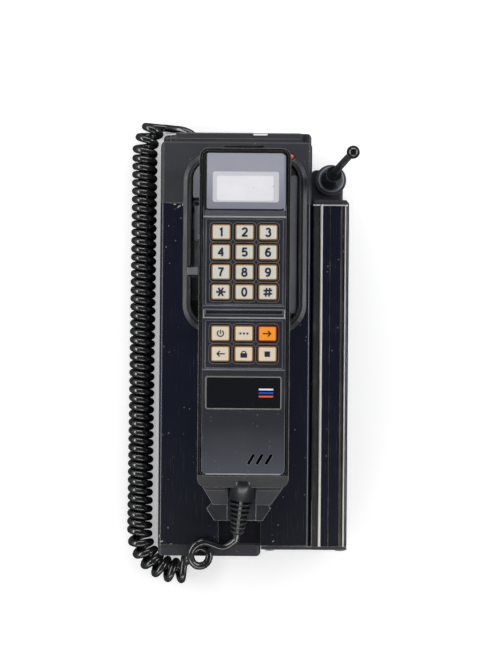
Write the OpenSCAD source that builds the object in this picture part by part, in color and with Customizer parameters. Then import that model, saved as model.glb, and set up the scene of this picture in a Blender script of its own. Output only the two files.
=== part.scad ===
// Transportable cellular phone lying on its back: radio unit, cradle, handset,
// slide-off battery, stub antenna and curly cord. Millimetres, +Z out of the face,
// +Y towards the display end. The origin is under the middle of the unit.

/* [Radio unit] */
// Width of the aluminium case
case_w = 98; // [96:1:104]
// Height of the case from its back to its face
case_h = 46; // [46:0.5:50]
// Length of the aluminium extrusion
case_l = 221; // [218:1:230]
// Wall of the extrusion
case_wall = 2; // [1.8:0.1:2.4]
// Rounding of the case's long edges
case_edge_r = 3; // [2.5:0.5:4]
// Length of the upper plastic cap
top_cap_l = 40; // [38:1:44]
// Depth of the rim on the upper end
end_rim_l = 6; // [4:0.5:8]
// Length of the lower plastic cap
bottom_cap_l = 7; // [5:0.5:9]
// Wall of the plastic caps
cap_wall = 2.5; // [2:0.25:3]
// Height of a rubber foot
foot_h = 2; // [1.5:0.25:4]
// Diameter of a rubber foot
foot_d = 12; // [8:0.5:14]

/* [Battery] */
// Diameter of a cell
cell_d = 22; // [21:0.25:22]
// Length of a cell
cell_l = 42; // [40:0.5:42.5]
// Wall of the battery's sleeve
battery_wall = 0.8; // [0.8:0.1:1.2]
// Length of the battery's upper cap
battery_cap_l = 3.2; // [2.5:0.1:4]
// Thickness of the plate at the battery's foot
foot_plate_t = 2.3; // [1.5:0.1:3]
// Width of the rail's head
rail_head_w = 10; // [8:0.5:12]
// Thickness of the rail's head
rail_head_t = 2; // [1.5:0.25:2.5]

/* [Handset] */
// Width of the handset
handset_w = 57; // [55:0.5:59]
// Length of the handset
handset_l = 212; // [208:1:216]
// Depth of the handset from its back to its rim
handset_h = 33.8; // [32:0.2:36]
// How far the front shell stands above the rim
front_rise = 3.5; // [3:0.25:4]
// Wall of the handset's shells
shell_wall = 1.8; // [1.6:0.1:2]
// Width of a key
key_w = 11.5; // [10.5:0.25:12]
// Length of a key
key_l = 9.5; // [8.5:0.25:9.5]
// Travel of a key
key_travel = 1.2; // [0.8:0.1:1.2]
// Distance between the columns of keys
key_pitch_x = 14.6; // [14.25:0.05:15]
// Distance between the rows of number keys
key_pitch_y = 12.4; // [12.1:0.1:12.6]
// Length of the strain-relief boot
boot_l = 34.5; // [30:0.5:38]
// Diameter of the boot at the handset
boot_d = 15; // [14:0.5:17]

/* [Cradle] */
// Thickness of the cradle's floor
cradle_floor_t = 3; // [2.5:0.25:4]
// Height of the ring wall above the case's face
ring_h = 14; // [12:0.5:16]
// Width of the ring, outside
ring_w = 71; // [70:0.5:74]
// Length of the ring, outside
ring_l = 107.3; // [106:0.5:109]
// Thickness of the ring wall
ring_wall = 1.6; // [1.4:0.1:1.8]
// Thickness of the release lever's thumb pad
lever_t = 10; // [8:0.5:10.5]

/* [Antenna] */
// Height of the shoulder that carries the antenna
shoulder_h = 34; // [30:0.5:38]
// Diameter of the jack's threaded stud
stud_d = 11; // [10:0.25:12]
// Length of the jack's threaded stud
stud_l = 8; // [7:0.25:9]
// Height of the antenna's moulded base
antenna_base_l = 41.2; // [36:0.5:48]
// Length of the whip above its base, to the middle of the ball
whip_l = 138; // [120:1:150]
// Diameter of the ball at the whip's tip
tip_d = 7.3; // [6:0.1:9]

/* [Cord] */
// Thickness of the cord
cord_d = 4.9; // [4.5:0.1:4.9]

/* [Hidden] */
$fn = 48;
eps = 0.01;
// Clearances: sliding rail, parts seated by hand, fixed plastic fits, shafts
rail_gap = 0.3;
seat_gap = 0.2;
fit = 0.1;
pin_gap = 0.05;
// Depth that a screw thread leaves between plain cylinders
thread_gap = 0.35;

// Levels along X, with the unit's middle at 0
battery_w = cell_d + 2 * (battery_wall + fit);
overall_w = case_w + rail_gap + battery_w;
case_x0 = -overall_w / 2;
case_x1 = case_x0 + case_w;
battery_x0 = case_x1 + rail_gap;
battery_x1 = overall_w / 2;
// Levels along Y
overall_l = bottom_cap_l + case_l + top_cap_l + end_rim_l;
end_y0 = -overall_l / 2;
case_y0 = end_y0 + bottom_cap_l;
case_y1 = case_y0 + case_l;
cap_y1 = case_y1 + top_cap_l;
end_y1 = cap_y1 + end_rim_l;
// Levels along Z
case_z0 = foot_h;
case_z1 = foot_h + case_h;
mid_z = foot_h + case_h / 2;
inner_z0 = case_z0 + case_wall;
inner_z1 = case_z1 - case_wall;
inner_x0 = case_x0 + case_wall;
inner_x1 = case_x1 - case_wall;

// Rail channel in the case's right wall
rail_neck_w = rail_head_w - 4;
pad_t = 1.5;
channel_x0 = case_x1 - case_wall - rail_head_t - 2 * rail_gap;
pad_x0 = channel_x0 - pad_t;
pad_h = rail_head_w + 2 * rail_gap + 2 * pad_t;

// Card slots and the board in them
board_t = 1.6;
board_z0 = inner_z0 + 8;
slot_rib_t = 1.5;
slot_rib_l = 3;
slot_gap = 0.1;
// Screw ports in the corners of the extrusion
port_inset = 6;
port_r = 3;
screw_r = 1.4;
screw_hole_r = 1.5;
spigot_l = 4;
port_x = [inner_x0 + port_inset - port_r, inner_x1 - port_inset + port_r];
port_z = [inner_z0 + port_inset - port_r - 0.5, inner_z1 - port_inset + port_r + 0.5];

// Notch in the case's face at its lower end
notch_x0 = case_x0 + 39.1;
notch_x1 = notch_x0 + 27.1;
notch_l = 16.7;
cap_flange_w = 66.5;
tongue_t = 2;
cap_corner_r = 4;

// Handset levels
handset_dx = 5.85;
handset_inset = 8.5;
hs_x = (case_x0 + case_x1) / 2 + handset_dx;
hs_y1 = cap_y1 - handset_inset;
hs_y0 = hs_y1 - handset_l;
hs_z0 = case_z1 + cradle_floor_t + seat_gap;
rim_z = hs_z0 + handset_h;
face_z = rim_z + front_rise;
hs_r = 5.5;
rim_h = 5;
// The lower end's facet, which the front shell stops above
facet_l = 7.6;
grip_z = hs_z0 + 8.8;
bump_z = hs_z0 + 6.3;
belly_y1 = hs_y1 - 8;
belly_y0 = hs_y1 - 98.5;
bump_y1 = hs_y0 + 28.5;
bump_y0 = hs_y0 + 6.5;
side_slope = 0.12;

// Front shell
groove = 0.8;
front_x0 = hs_x - handset_w / 2 + shell_wall + groove;
front_x1 = hs_x + handset_w / 2 - shell_wall - groove;
front_y0 = hs_y0 + facet_l + groove;
front_y1 = hs_y1 - shell_wall - groove;
front_t = 2;
skirt_t = 1.5;
skirt_z = rim_z - 1.5;
field_z = face_z - 0.8;
front_r = 3.6;
lens_w = 50;
lens_l = 36;
lens_t = 1.6;
lens_y1 = front_y1 - 0.5;
lens_y0 = lens_y1 - lens_l;
window_w = 42;
window_l = 20;
window_y = lens_y0 + 14.9;
ridge_w = 1;
upper_field = [hs_y1 - 98.5, hs_y1 - 43.7];
dark_strip = [hs_y1 - 104.7, hs_y1 - 100.3];
lower_field = [hs_y1 - 138.2, hs_y1 - 106.6];
field_w = 47.8;
plate_w = 47;
plate_l = 20.2;
plate_t = 0.5;
plate_y = hs_y1 - 152.5;
mic_x = [5, 10.3, 16];
mic_y = hs_y1 - 193.7;

// Keys: columns and rows
column_x = [hs_x - key_pitch_x, hs_x, hs_x + key_pitch_x];
number_y = [for (row = [0:3]) hs_y1 - 52.7 - row * key_pitch_y];
function_y = [hs_y1 - 115.6, hs_y1 - 128.3];
key_gap = 0.3;
key_r = 1.5;
key_rise = 1.6;
key_flange = 0.7;
key_flange_t = 0.8;
// Stack under the keys
board_top = face_z - 7.5;
mat_t = 1.6;
mat_top = board_top + mat_t;
key_z0 = field_z - front_t - key_flange_t;
stem_l = key_z0 - mat_top - key_travel - 0.1;
lcd_t = 4.6;
handset_board_t = 1.6;
handset_board_w = 49;
board_rib_x = 21;
rib_t = 2;

// Ring and lever
ring_r = 14;
ring_x0 = hs_x - ring_w / 2;
ring_x1 = hs_x + ring_w / 2;
ring_y1 = hs_y1 - 3.5;
ring_y0 = ring_y1 - ring_l;
ring_z1 = case_z1 + ring_h;
flare_w = 4.5;
lever_gap = 0.6;
ledge_gap = 0.9;
ledge_z = ring_z1 - 1.4;
ledge_x0 = hs_x + handset_w / 2 - side_slope * (rim_z - rim_h - ledge_z) + 0.8;
ring_dip_z = hs_z0 + 5.4;
lever_x0 = ring_x0 + ring_wall + lever_gap;
lever_w = 4.4;
pivot_x = lever_x0 + 2.6;
pivot_y = hs_y1 - 33;
pivot_r = 1.5;
lever_z0 = case_z1 + cradle_floor_t + seat_gap;
lever_arm_t = 5;
nose_y = hs_y1 - 76;
nose_w = 4.6;

// Rest under the lower end
rest_w1 = 51;
rest_w0 = 36.8;
rest_y0 = hs_y0 - 13.5;
flange_y0 = rest_y0 - 10.8;
flange_t = 2.5;
cord_notch_w = 18.5;
cord_notch_x = hs_x - 0.8;

// Shoulder and antenna
shoulder_x1 = case_x1 + 20.6;
shoulder_y0 = case_y1 + 2.9;
shoulder_y1 = case_y1 + 23;
shoulder_z0 = case_z0 + 6;
shoulder_z1 = case_z0 + shoulder_h;
antenna_x = case_x1 + 12.5;
antenna_y = case_y1 + 16.3;
jack_flange_t = 2.5;
jack_flange_r = 10;
jack_depth = 4;
stud_z0 = shoulder_z1 + jack_flange_t;
nut_r = 8.3;
nut_t = 5.2;
nut_chamfer = 0.9;
pin_r = 2.2;
base_z1 = stud_z0 + antenna_base_l;
base_r0 = 7.6;
base_r1 = 4.6;
whip_r0 = 2.4;
whip_r1 = 1.9;
tip_l = 28;
whip_seat = 10;

// Bay for the cord's plug and the two sockets in the upper end
bay_x0 = case_x0 + 11;
bay_x1 = case_x0 + 32;
bay_z1 = case_z0 + 20;
bay_l = 13;
bay_y0 = cap_y1 - bay_l;
plug_x = case_x0 + 21.5;
plug_z = case_z0 + 10;
plug_w = 11.4;
plug_h = 8;
plug_in = 8;
plug_l = 20;
plug_end_y = bay_y0 - plug_in + plug_l;
inlet_x = case_x0 + 64.4;
inlet_z = mid_z + 9;
inlet_r = 2.75;
inlet_body_r = 4.6;
rim_z0 = mid_z - 1;
rim_z1 = case_z1 - 4;
rim_corner_r = 3.5;
rim_notch = 1.5;

// Cord: a helix on an axis of two bends and a straight run, wound left-handed
curl_r = 6.15;
curl_rings = 8;
coil_sides = 6;
tube_sides = 8;
coil_z = 8.75;
run_x1 = -73.7;
run_x0 = -75.3;
run_y1 = 128;
run_y0 = -126;
top_bend_r = 24;
top_bend_a = 46;
// Share of the upper bend's angle that the curls turn by
top_turn = 0.3;
fan_r = 26;
fan_a = 98;
top_curls = 2.5;
run_curls = 46;
fan_curls = 6;
smooth_steps = 3;

// ---- Shapes that repeat ----

// A flat rectangle from (x0, y0) to (x1, y1) with corners of radius r
module round_rect(x0, x1, y0, y1, r) {
    translate([x0 + r, y0]) square([x1 - x0 - 2 * r, y1 - y0]);
    translate([x0, y0 + r]) square([x1 - x0, y1 - y0 - 2 * r]);
    for (x = [x0 + r, x1 - r], y = [y0 + r, y1 - r]) translate([x, y]) circle(r);
}

// A block between two corners
module block(low, high) {
    translate(low) cube(high - low);
}

// Extrudes a drawing of (y, z) along X, of (x, z) along Y, and of (x, y) along Z
module along_x(x0, x1) {
    translate([x0, 0, 0]) rotate([90, 0, 90]) linear_extrude(x1 - x0) children();
}
module along_y(y0, y1) {
    translate([0, y1, 0]) rotate([90, 0, 0]) linear_extrude(y1 - y0) children();
}
module along_z(z0, z1) {
    translate([0, 0, z0]) linear_extrude(z1 - z0) children();
}

// A rod along Y
module rod_y(x, z, y0, y1, r) {
    translate([x, y1, z]) rotate([90, 0, 0]) cylinder(h = y1 - y0, r = r);
}

// A closed ring of round corners whose section is drawn outwards from the corners' centres
module swept_ring(w, l, r) {
    for (side = [0:3]) {
        run = side % 2 == 0 ? l - 2 * r : w - 2 * r;
        reach = side % 2 == 0 ? w / 2 - r : l / 2 - r;
        rotate([0, 0, side * 90]) translate([reach, run / 2, 0]) {
            rotate([90, 0, 0]) linear_extrude(run) children();
            rotate_extrude(angle = 90) children();
        }
    }
}

// Moves each edge of a convex-ish outline inwards by t (points run anticlockwise)
function inward(a, b) = let (d = (b - a) / norm(b - a)) [-d[1], d[0]];
function inset_outline(p, t) = [
    for (i = [0:len(p) - 1])
        let (a = p[(i + len(p) - 1) % len(p)], c = p[(i + 1) % len(p)])
        let (n1 = inward(a, p[i]), n2 = inward(p[i], c))
        p[i] + (n1 + n2) * t / (1 + n1 * n2)
];

// ---- Radio unit ----

module case_outline(c = 0) {
    round_rect(case_x0 + c, case_x1 - c, case_z0 + c, case_z1 - c, case_edge_r - c);
}

// The hollow of the extrusion, drawn smaller by c for the parts that plug into it
module case_hollow(c = 0) {
    slot_z = board_z0 - slot_gap;
    difference() {
        translate([inner_x0 + c, inner_z0 + c])
            square([inner_x1 - inner_x0 - 2 * c, inner_z1 - inner_z0 - 2 * c]);
        for (z = [slot_z - slot_rib_t, slot_z + board_t + 2 * slot_gap])
            for (x = [inner_x0 - c, inner_x1 - slot_rib_l - c])
                translate([x, z - c]) square([slot_rib_l + 2 * c, slot_rib_t + 2 * c]);
        translate([pad_x0 - c, mid_z - pad_h / 2 - c])
            square([case_x1 - pad_x0, pad_h + 2 * c]);
        for (x = port_x, z = port_z) translate([x, z]) circle(port_r + c);
        for (x = port_x, z = port_z)
            translate([x < hs_x ? inner_x0 : x, z - port_r - c])
                square([x < hs_x ? x - inner_x0 : inner_x1 - x, 2 * (port_r + c)]);
    }
}

// The channel that the battery's rail runs in
module rail_channel() {
    translate([channel_x0, mid_z - rail_head_w / 2 - rail_gap])
        square([rail_head_t + 2 * rail_gap, rail_head_w + 2 * rail_gap]);
    translate([channel_x0, mid_z - rail_neck_w / 2 - rail_gap])
        square([case_x1 - channel_x0 + 1, rail_neck_w + 2 * rail_gap]);
}

module transceiver_case() {
    color("#1d2029") difference() {
        along_y(case_y0, case_y1) difference() {
            case_outline();
            case_hollow();
            rail_channel();
            for (x = port_x, z = port_z) translate([x, z]) circle(screw_hole_r);
        }
        block([notch_x0, case_y0 - 1, inner_z1 - 1], [notch_x1, case_y0 + notch_l, case_z1 + 1]);
        for (p = cradle_screw_points()) if (p[1] < case_y1)
            translate([p[0], p[1], inner_z1 - 1]) cylinder(h = case_wall + 2, r = screw_hole_r);
    }
}

// The outside of the upper cap: the case's profile with a rounded far end
module top_cap_body(c = 0) {
    intersection() {
        along_y(case_y1, cap_y1 - c) case_outline(c);
        along_z(case_z0 + c, case_z1 - c)
            round_rect(case_x0 + c, case_x1 - c, case_y1 - 10, cap_y1 - c, cap_corner_r - c);
        along_x(case_x0 + c, case_x1 - c)
            round_rect(case_y1 - 10, cap_y1 - c, case_z0 + c, case_z1 - c, case_edge_r / 2);
    }
}

// The rim on the upper end, with its notch over the power inlet
module end_rim() {
    difference() {
        intersection() {
            along_y(cap_y1 - 1, end_y1)
                round_rect(case_x0 + 8.5, case_x1 - 0.5, rim_z0, rim_z1, 2);
            along_z(rim_z0, rim_z1)
                round_rect(case_x0 + 8.5, case_x1 - 0.5, cap_y1 - 8, end_y1, rim_corner_r);
        }
        rod_y(inlet_x, inlet_z, cap_y1 - 2, end_y1 + 1, inlet_body_r + fit);
        block([inlet_x - inlet_body_r - fit, end_y1 - rim_notch, inlet_z],
              [inlet_x + inlet_body_r + fit, end_y1 + 1, rim_z1 + 1]);
    }
    intersection() {
        along_y(cap_y1 - 1, end_y1 - end_rim_l / 4)
            round_rect(case_x0 + 1.5, case_x0 + 14, rim_z0 + 1, rim_z1 - 1, 2);
        along_z(rim_z0, rim_z1)
            round_rect(case_x0 + 1.5, case_x0 + 30, cap_y1 - 8, end_y1 - end_rim_l / 4, rim_corner_r);
    }
}

module top_cap() {
    color("#3e3f45") difference() {
        union() {
            difference() {
                top_cap_body();
                difference() {
                    block([case_x0, case_y1 - 1, case_z0], [case_x1, cap_y1 - cap_wall, case_z1]);
                    difference() {
                        block([case_x0 - 1, case_y1 - 2, case_z0 - 1],
                              [case_x1 + 1, cap_y1, case_z1 + 1]);
                        along_y(case_y1 - 3, cap_y1 + 1)
                            round_rect(case_x0 + cap_wall, case_x1 - cap_wall,
                                       case_z0 + cap_wall, case_z1 - cap_wall, 1);
                    }
                }
            }
            end_rim();
            along_y(case_y1 - spigot_l, case_y1 + 1) difference() {
                case_hollow(fit);
                translate([inner_x0 + cap_wall, inner_z0 + cap_wall])
                    square([inner_x1 - inner_x0 - 2 * cap_wall, inner_z1 - inner_z0 - 2 * cap_wall]);
            }
            for (x = port_x, z = port_z) rod_y(x, z, case_y1, cap_y1 - 0.5, port_r);
            block([bay_x0 - cap_wall, bay_y0 - cap_wall, case_z0 + cap_wall - eps],
                  [bay_x1 + cap_wall, cap_y1 - 1, bay_z1 + cap_wall]);
        }
        // Bay, with the socket's window in its back wall
        block([bay_x0, bay_y0, case_z0 + cap_wall], [bay_x1, cap_y1 + 1, bay_z1]);
        block([plug_x - 8 - fit, bay_y0 - cap_wall - 1, plug_z - 7 - fit],
              [plug_x + 8 + fit, bay_y0 + 1, plug_z + 7 + fit]);
        // Power inlet, lamp, the slot above the handset, and the screws
        rod_y(inlet_x, inlet_z, cap_y1 - cap_wall - 1, end_y1, inlet_body_r + fit);
        translate([lamp_x, lamp_y, case_z1 - cap_wall - 1])
            cylinder(h = cap_wall + 2, r = lamp_r + lamp_gap);
        block([hs_x - 14, hs_y1 + 3.8, case_z1 - 0.6 * cap_wall], [hs_x + 11.8, hs_y1 + 5.4, case_z1 + 1]);
        block([hs_x + 7.3, hs_y1 + 3.2, case_z1 - 0.8 * cap_wall], [hs_x + 11.8, hs_y1 + 5.6, case_z1 + 1]);
        for (x = port_x, z = port_z) {
            rod_y(x, z, case_y1 - 1, end_y1 + 1, screw_hole_r);
            rod_y(x, z, cap_y1 - screw_head_t - 0.3, end_y1 + 1, screw_head_r + 0.2);
        }
        for (p = cradle_screw_points()) if (p[1] > case_y1)
            translate([p[0], p[1], case_z1 - cap_wall - 1]) cylinder(h = cap_wall + 2, r = screw_hole_r);
    }
}

lamp_r = 1.65;
lamp_gap = 0.4;
lamp_x = case_x1 - 13.65;
lamp_y = cap_y1 - 9.7;
screw_head_r = 2.6;
screw_head_t = 1.8;

module status_led() {
    color("#e1701e") translate([lamp_x, lamp_y, 0]) {
        translate([0, 0, case_z1 - cap_wall - 3]) cylinder(h = cap_wall + 2.6, r = lamp_r);
        translate([0, 0, case_z1 - 0.4]) intersection() {
            sphere(lamp_r);
            cylinder(h = lamp_r, r = lamp_r);
        }
        translate([0, 0, case_z1 - cap_wall - 4]) cylinder(h = 1, r = lamp_r + 0.5);
    }
}

module bottom_cap() {
    color("#3c3c41") difference() {
        union() {
            intersection() {
                along_y(end_y0, case_y0)
                    round_rect(case_x0, case_x0 + cap_flange_w, case_z0, case_z1 - 1, case_edge_r);
                along_z(case_z0, case_z1)
                    round_rect(case_x0, case_x0 + cap_flange_w, end_y0, case_y0 + 10, case_edge_r);
            }
            along_y(case_y0 - eps, case_y0 + spigot_l) case_hollow(fit);
            block([notch_x0 + fit, case_y0 - 1, inner_z1 - tongue_t],
                  [notch_x1 - fit, case_y0 + notch_l - fit, inner_z1 - fit]);
        }
        block([hs_x - 6.6, case_y0 + 1.4, inner_z1 - tongue_t - 1],
              [hs_x + 5.7, case_y0 + 2.8, inner_z1 + 1]);
        // Screws of the cap, and the battery plate's captive screw
        for (x = port_x, z = port_z) {
            rod_y(x, z, end_y0 - 1, case_y0 + spigot_l + 1, screw_hole_r);
            rod_y(x, z, end_y0 - 1, end_y0 + screw_head_t + 0.3, screw_head_r + 0.2);
        }
        rod_y(plate_screw_x[0], plate_screw_z, case_y0 - 1, case_y0 + spigot_l + 1, screw_hole_r + 0.2);
    }
}

module end_screws() {
    color("#8a8c90") {
        for (x = port_x, z = port_z) {
            rod_y(x, z, case_y1 - 12, cap_y1 - screw_head_t - 0.2, screw_r);
            rod_y(x, z, cap_y1 - screw_head_t - 0.3, cap_y1 - 0.3, screw_head_r);
        }
        for (z = port_z) {
            rod_y(port_x[0], z, end_y0 + screw_head_t + 0.2, case_y0 + 12, screw_r);
            rod_y(port_x[0], z, end_y0 + 0.3, end_y0 + screw_head_t + 0.3, screw_head_r);
        }
    }
}

module rubber_feet() {
    inset = foot_d / 2 + 3;
    color("#1b1b1c") for (x = [case_x0 + inset, case_x1 - inset], y = [case_y0 + inset, case_y1 - inset])
        translate([x, y, 0]) cylinder(h = foot_h, r = foot_d / 2);
}

module radio_board() {
    edge = inner_x0 + slot_gap;
    color("#2c5a34") block([edge, case_y0 + 12, board_z0],
                           [inner_x1 - slot_gap, case_y1 - spigot_l - 1, board_z0 + board_t]);
}

// Filter block at the board's right, and a row of shield cans left of it
duplexer_w = 24;
duplexer_l = 60;
duplexer_h = 22;
duplexer_x1 = pad_x0 - 8;
duplexer_y1 = case_y1 - 41;
can_x0 = inner_x0 + 12;
can_x1 = duplexer_x1 - duplexer_w - 6;
can_l = 42;
can_pitch = 50;
can_wall = 0.5;
can_h = 12;
module shield_cans() {
    z = board_z0 + board_t;
    color("#b9bbbd") for (i = [0:2]) let (y = case_y0 + 30 + i * can_pitch) difference() {
        block([can_x0, y, z], [can_x1, y + can_l, z + can_h]);
        block([can_x0 + can_wall, y + can_wall, z - 1],
              [can_x1 - can_wall, y + can_l - can_wall, z + can_h - can_wall]);
    }
}

module duplexer() {
    z = board_z0 + board_t;
    color("#a7a9ac") {
        block([duplexer_x1 - duplexer_w, duplexer_y1 - duplexer_l, z],
              [duplexer_x1, duplexer_y1, z + duplexer_h]);
        for (i = [1, 3, 5])
            translate([duplexer_x1 - duplexer_w / 2, duplexer_y1 - i * duplexer_l / 6, z + duplexer_h - eps])
                cylinder(h = 3, r = 2.5);
    }
}

module handset_socket() {
    color("#202124") difference() {
        block([plug_x - 8, bay_y0 - 14, plug_z - 7], [plug_x + 8, bay_y0, plug_z + 7]);
        block([plug_x - plug_w / 2 - fit, bay_y0 - plug_in - 0.5, plug_z - plug_h / 2 - fit],
              [plug_x + plug_w / 2 + fit, bay_y0 + 1, plug_z + plug_h / 2 + fit]);
    }
}

module power_socket() {
    color("#2a2b2f") difference() {
        union() {
            rod_y(inlet_x, inlet_z, cap_y1 - 12, end_y1 - 1.5, inlet_body_r);
            rod_y(inlet_x, inlet_z, cap_y1 - cap_wall - 2, cap_y1 - cap_wall - 0.1, inlet_body_r + 1.5);
        }
        rod_y(inlet_x, inlet_z, end_y1 - 11.5, end_y1, inlet_r);
    }
}

module antenna_block() {
    w = cap_wall;
    color("#34353b") difference() {
        intersection() {
            along_z(shoulder_z0, shoulder_z1) {
                round_rect(case_x1, shoulder_x1, shoulder_y0, shoulder_y1, 3);
                translate([case_x1, shoulder_y0]) square([6, 15]);
                translate([shoulder_x1 - 6, shoulder_y0]) square([6, 6]);
            }
            along_y(shoulder_y0, shoulder_y1)
                round_rect(case_x1 - 6, shoulder_x1, shoulder_z0, shoulder_z1, 2);
        }
        block([case_x1 - 1, shoulder_y0 + w, shoulder_z0 + w],
              [shoulder_x1 - w, shoulder_y1 - w, shoulder_z1 - w]);
        translate([antenna_x, antenna_y, shoulder_z1 - w - jack_depth - 1])
            cylinder(h = w + jack_depth + 2, r = stud_d / 2 + fit);
        for (x = contact_x) rod_y(x, contact_z, shoulder_y0 - 1, shoulder_y0 + w + 1, contact_r + fit);
    }
}

contact_r = 1.2;
contact_x = [case_x1 + 5.5, case_x1 + 10.5, case_x1 + 15.5];
contact_z = shoulder_z0 + 8;

module battery_contacts() {
    color("#c9a94b") for (x = contact_x) {
        rod_y(x, contact_z, shoulder_y0 - 0.1, shoulder_y0 + cap_wall + 3, contact_r);
        rod_y(x, contact_z, shoulder_y0 + cap_wall + 0.1, shoulder_y0 + cap_wall + 1.1, contact_r + 0.8);
    }
}

module antenna_jack() {
    color("#6d6f73") translate([antenna_x, antenna_y, 0]) difference() {
        union() {
            translate([0, 0, shoulder_z1]) cylinder(h = jack_flange_t, r = jack_flange_r);
            translate([0, 0, shoulder_z1 - cap_wall - jack_depth])
                cylinder(h = cap_wall + jack_depth + jack_flange_t + stud_l, r = stud_d / 2);
        }
        translate([0, 0, stud_z0 - 2]) cylinder(h = stud_l + 3, r = pin_r + pin_gap);
    }
}

module reed_switch() {
    color("#3a3b3e") block([hs_x - 20, bump_y0 + 2, inner_z1 - 5], [hs_x - 12, bump_y0 + 16, inner_z1]);
}

// ---- Cradle and lever ----

function cradle_screw_points() = [
    for (x = [hs_x - 18, hs_x + 18], y = [ring_y0 + 12, ring_y1 - 14]) [x, y],
    for (x = [hs_x - 16, hs_x + 14]) [x, bump_y1 - 3]
];
screw_cone_r = 3;

// The ring wall's section, outwards from the corners' centres
module ring_section() {
    r = ring_r;
    polygon([
        [r - ring_wall, case_z1], [r + flare_w, case_z1], [r + 1.9, case_z1 + 1.4],
        [r + 0.5, case_z1 + 4], [r, case_z1 + 8], [r, ring_z1 - 0.5], [r - 0.4, ring_z1],
        [r - ring_wall + 0.3, ring_z1], [r - ring_wall, ring_z1 - 0.4]
    ]);
}

module cradle_cup() {
    color("#35363c") difference() {
        union() {
            translate([(ring_x0 + ring_x1) / 2, (ring_y0 + ring_y1) / 2, 0])
                swept_ring(ring_w, ring_l, ring_r) ring_section();
            along_z(case_z1, case_z1 + cradle_floor_t)
                round_rect(ring_x0 + 1, ring_x1 - 1, ring_y0 + 1, ring_y1 - 1, ring_r - 1);
            // Ledge between the handset and the ring on the right
            intersection() {
                along_z(case_z1, ledge_z)
                    round_rect(ring_x0 + ring_wall + ledge_gap, ring_x1 - ring_wall - ledge_gap,
                               ring_y0 + ring_wall + ledge_gap, ring_y1 - ring_wall - ledge_gap,
                               ring_r - ring_wall - ledge_gap);
                block([ledge_x0, ring_y0, case_z1], [ring_x1, ring_y1, ledge_z]);
            }
            translate([pivot_x, pivot_y, case_z1])
                cylinder(h = cradle_floor_t + seat_gap + lever_t - 2, r = pivot_r);
        }
        // The wall dips where the handset's grip passes over it
        block([hs_x - handset_w / 2 - 1, ring_y0 - flare_w - 1, ring_dip_z],
              [hs_x + handset_w / 2 + 1, ring_y0 + ring_wall + 3, ring_z1 + 1]);
        translate([lamp_x, lamp_y, case_z1 - 1]) cylinder(h = ring_h, r = lamp_r + lamp_gap);
        block([ring_x0 - 6, nose_y - nose_w / 2 - 1.2, case_z1 + cradle_floor_t],
              [ring_x0 + ring_wall + 1, nose_y + nose_w / 2 + 1.2, ring_z1 + 1]);
        for (p = cradle_screw_points()) if (p[1] > bump_y1)
            translate([p[0], p[1], 0]) {
                translate([0, 0, case_z1 - 1]) cylinder(h = cradle_floor_t + 2, r = screw_hole_r);
                translate([0, 0, case_z1 + cradle_floor_t - 1.6]) cylinder(h = 3, r = screw_cone_r);
            }
    }
}

module rest_plan(c = 0) {
    polygon([
        [hs_x - rest_w1 / 2 + c, bump_y1 - 6], [hs_x - rest_w1 / 2 + c, hs_y0 - 1.5],
        [hs_x - rest_w0 / 2 - 0.6 + c, rest_y0], [hs_x + rest_w0 / 2 - 0.6 - c, rest_y0],
        [hs_x + rest_w1 / 2 - c, hs_y0 - 1.5], [hs_x + rest_w1 / 2 - c, bump_y1 - 6]
    ]);
}

module rest_profile() {
    seat = bump_z - seat_gap;
    lip = hs_z0 + 14;
    polygon([
        [rest_y0 - 1, case_z1], [bump_y1 + 4, case_z1], [bump_y1 + 4, case_z1 + flange_t],
        [bump_y1 - 2, seat], [bump_y0 + 0.2, seat], [hs_y0 - 0.5, lip - 0.6],
        [hs_y0 - 0.5, lip], [hs_y0 - 3.5, lip - 0.8], [rest_y0 - 0.2, case_z1 + 8.5],
        [rest_y0 - 1, case_z1 + 7.5]
    ]);
}

module cradle_rest() {
    color("#404045") difference() {
        union() {
            intersection() {
                along_z(case_z1, case_z1 + 40) rest_plan();
                along_x(hs_x - rest_w1, hs_x + rest_w1) rest_profile();
            }
            along_z(case_z1, case_z1 + flange_t) polygon([
                [hs_x - 20, rest_y0 + 1], [hs_x - 23.5, rest_y0 - 3], [hs_x - 18.3, flange_y0],
                [hs_x + 12.5, flange_y0], [hs_x + 18, rest_y0 - 3], [hs_x + 16, rest_y0 + 1]
            ]);
        }
        // Channel that the boot and the cord lie in
        block([cord_notch_x - cord_notch_w / 2, flange_y0 - 1, case_z1 + 1.5],
              [cord_notch_x + cord_notch_w / 2, hs_y0 + 6, case_z1 + 40]);
        for (p = cradle_screw_points()) if (p[1] < bump_y1) translate([p[0], p[1], 0]) {
            translate([0, 0, case_z1 - 1]) cylinder(h = 40, r = screw_hole_r);
            translate([0, 0, bump_z - seat_gap - 2]) cylinder(h = 20, r = screw_cone_r);
        }
    }
}

module cradle_screws() {
    color("#8a8c90") for (p = cradle_screw_points()) translate([p[0], p[1], 0]) {
        top = p[1] > bump_y1 ? case_z1 + cradle_floor_t - 0.1 : bump_z - seat_gap - 0.4;
        translate([0, 0, case_z1 - 3.8]) cylinder(h = top - case_z1 + 3.8 - 1, r = screw_r);
        translate([0, 0, top - 1.5]) cylinder(h = 1.5, r = screw_cone_r - 0.2);
    }
}

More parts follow.
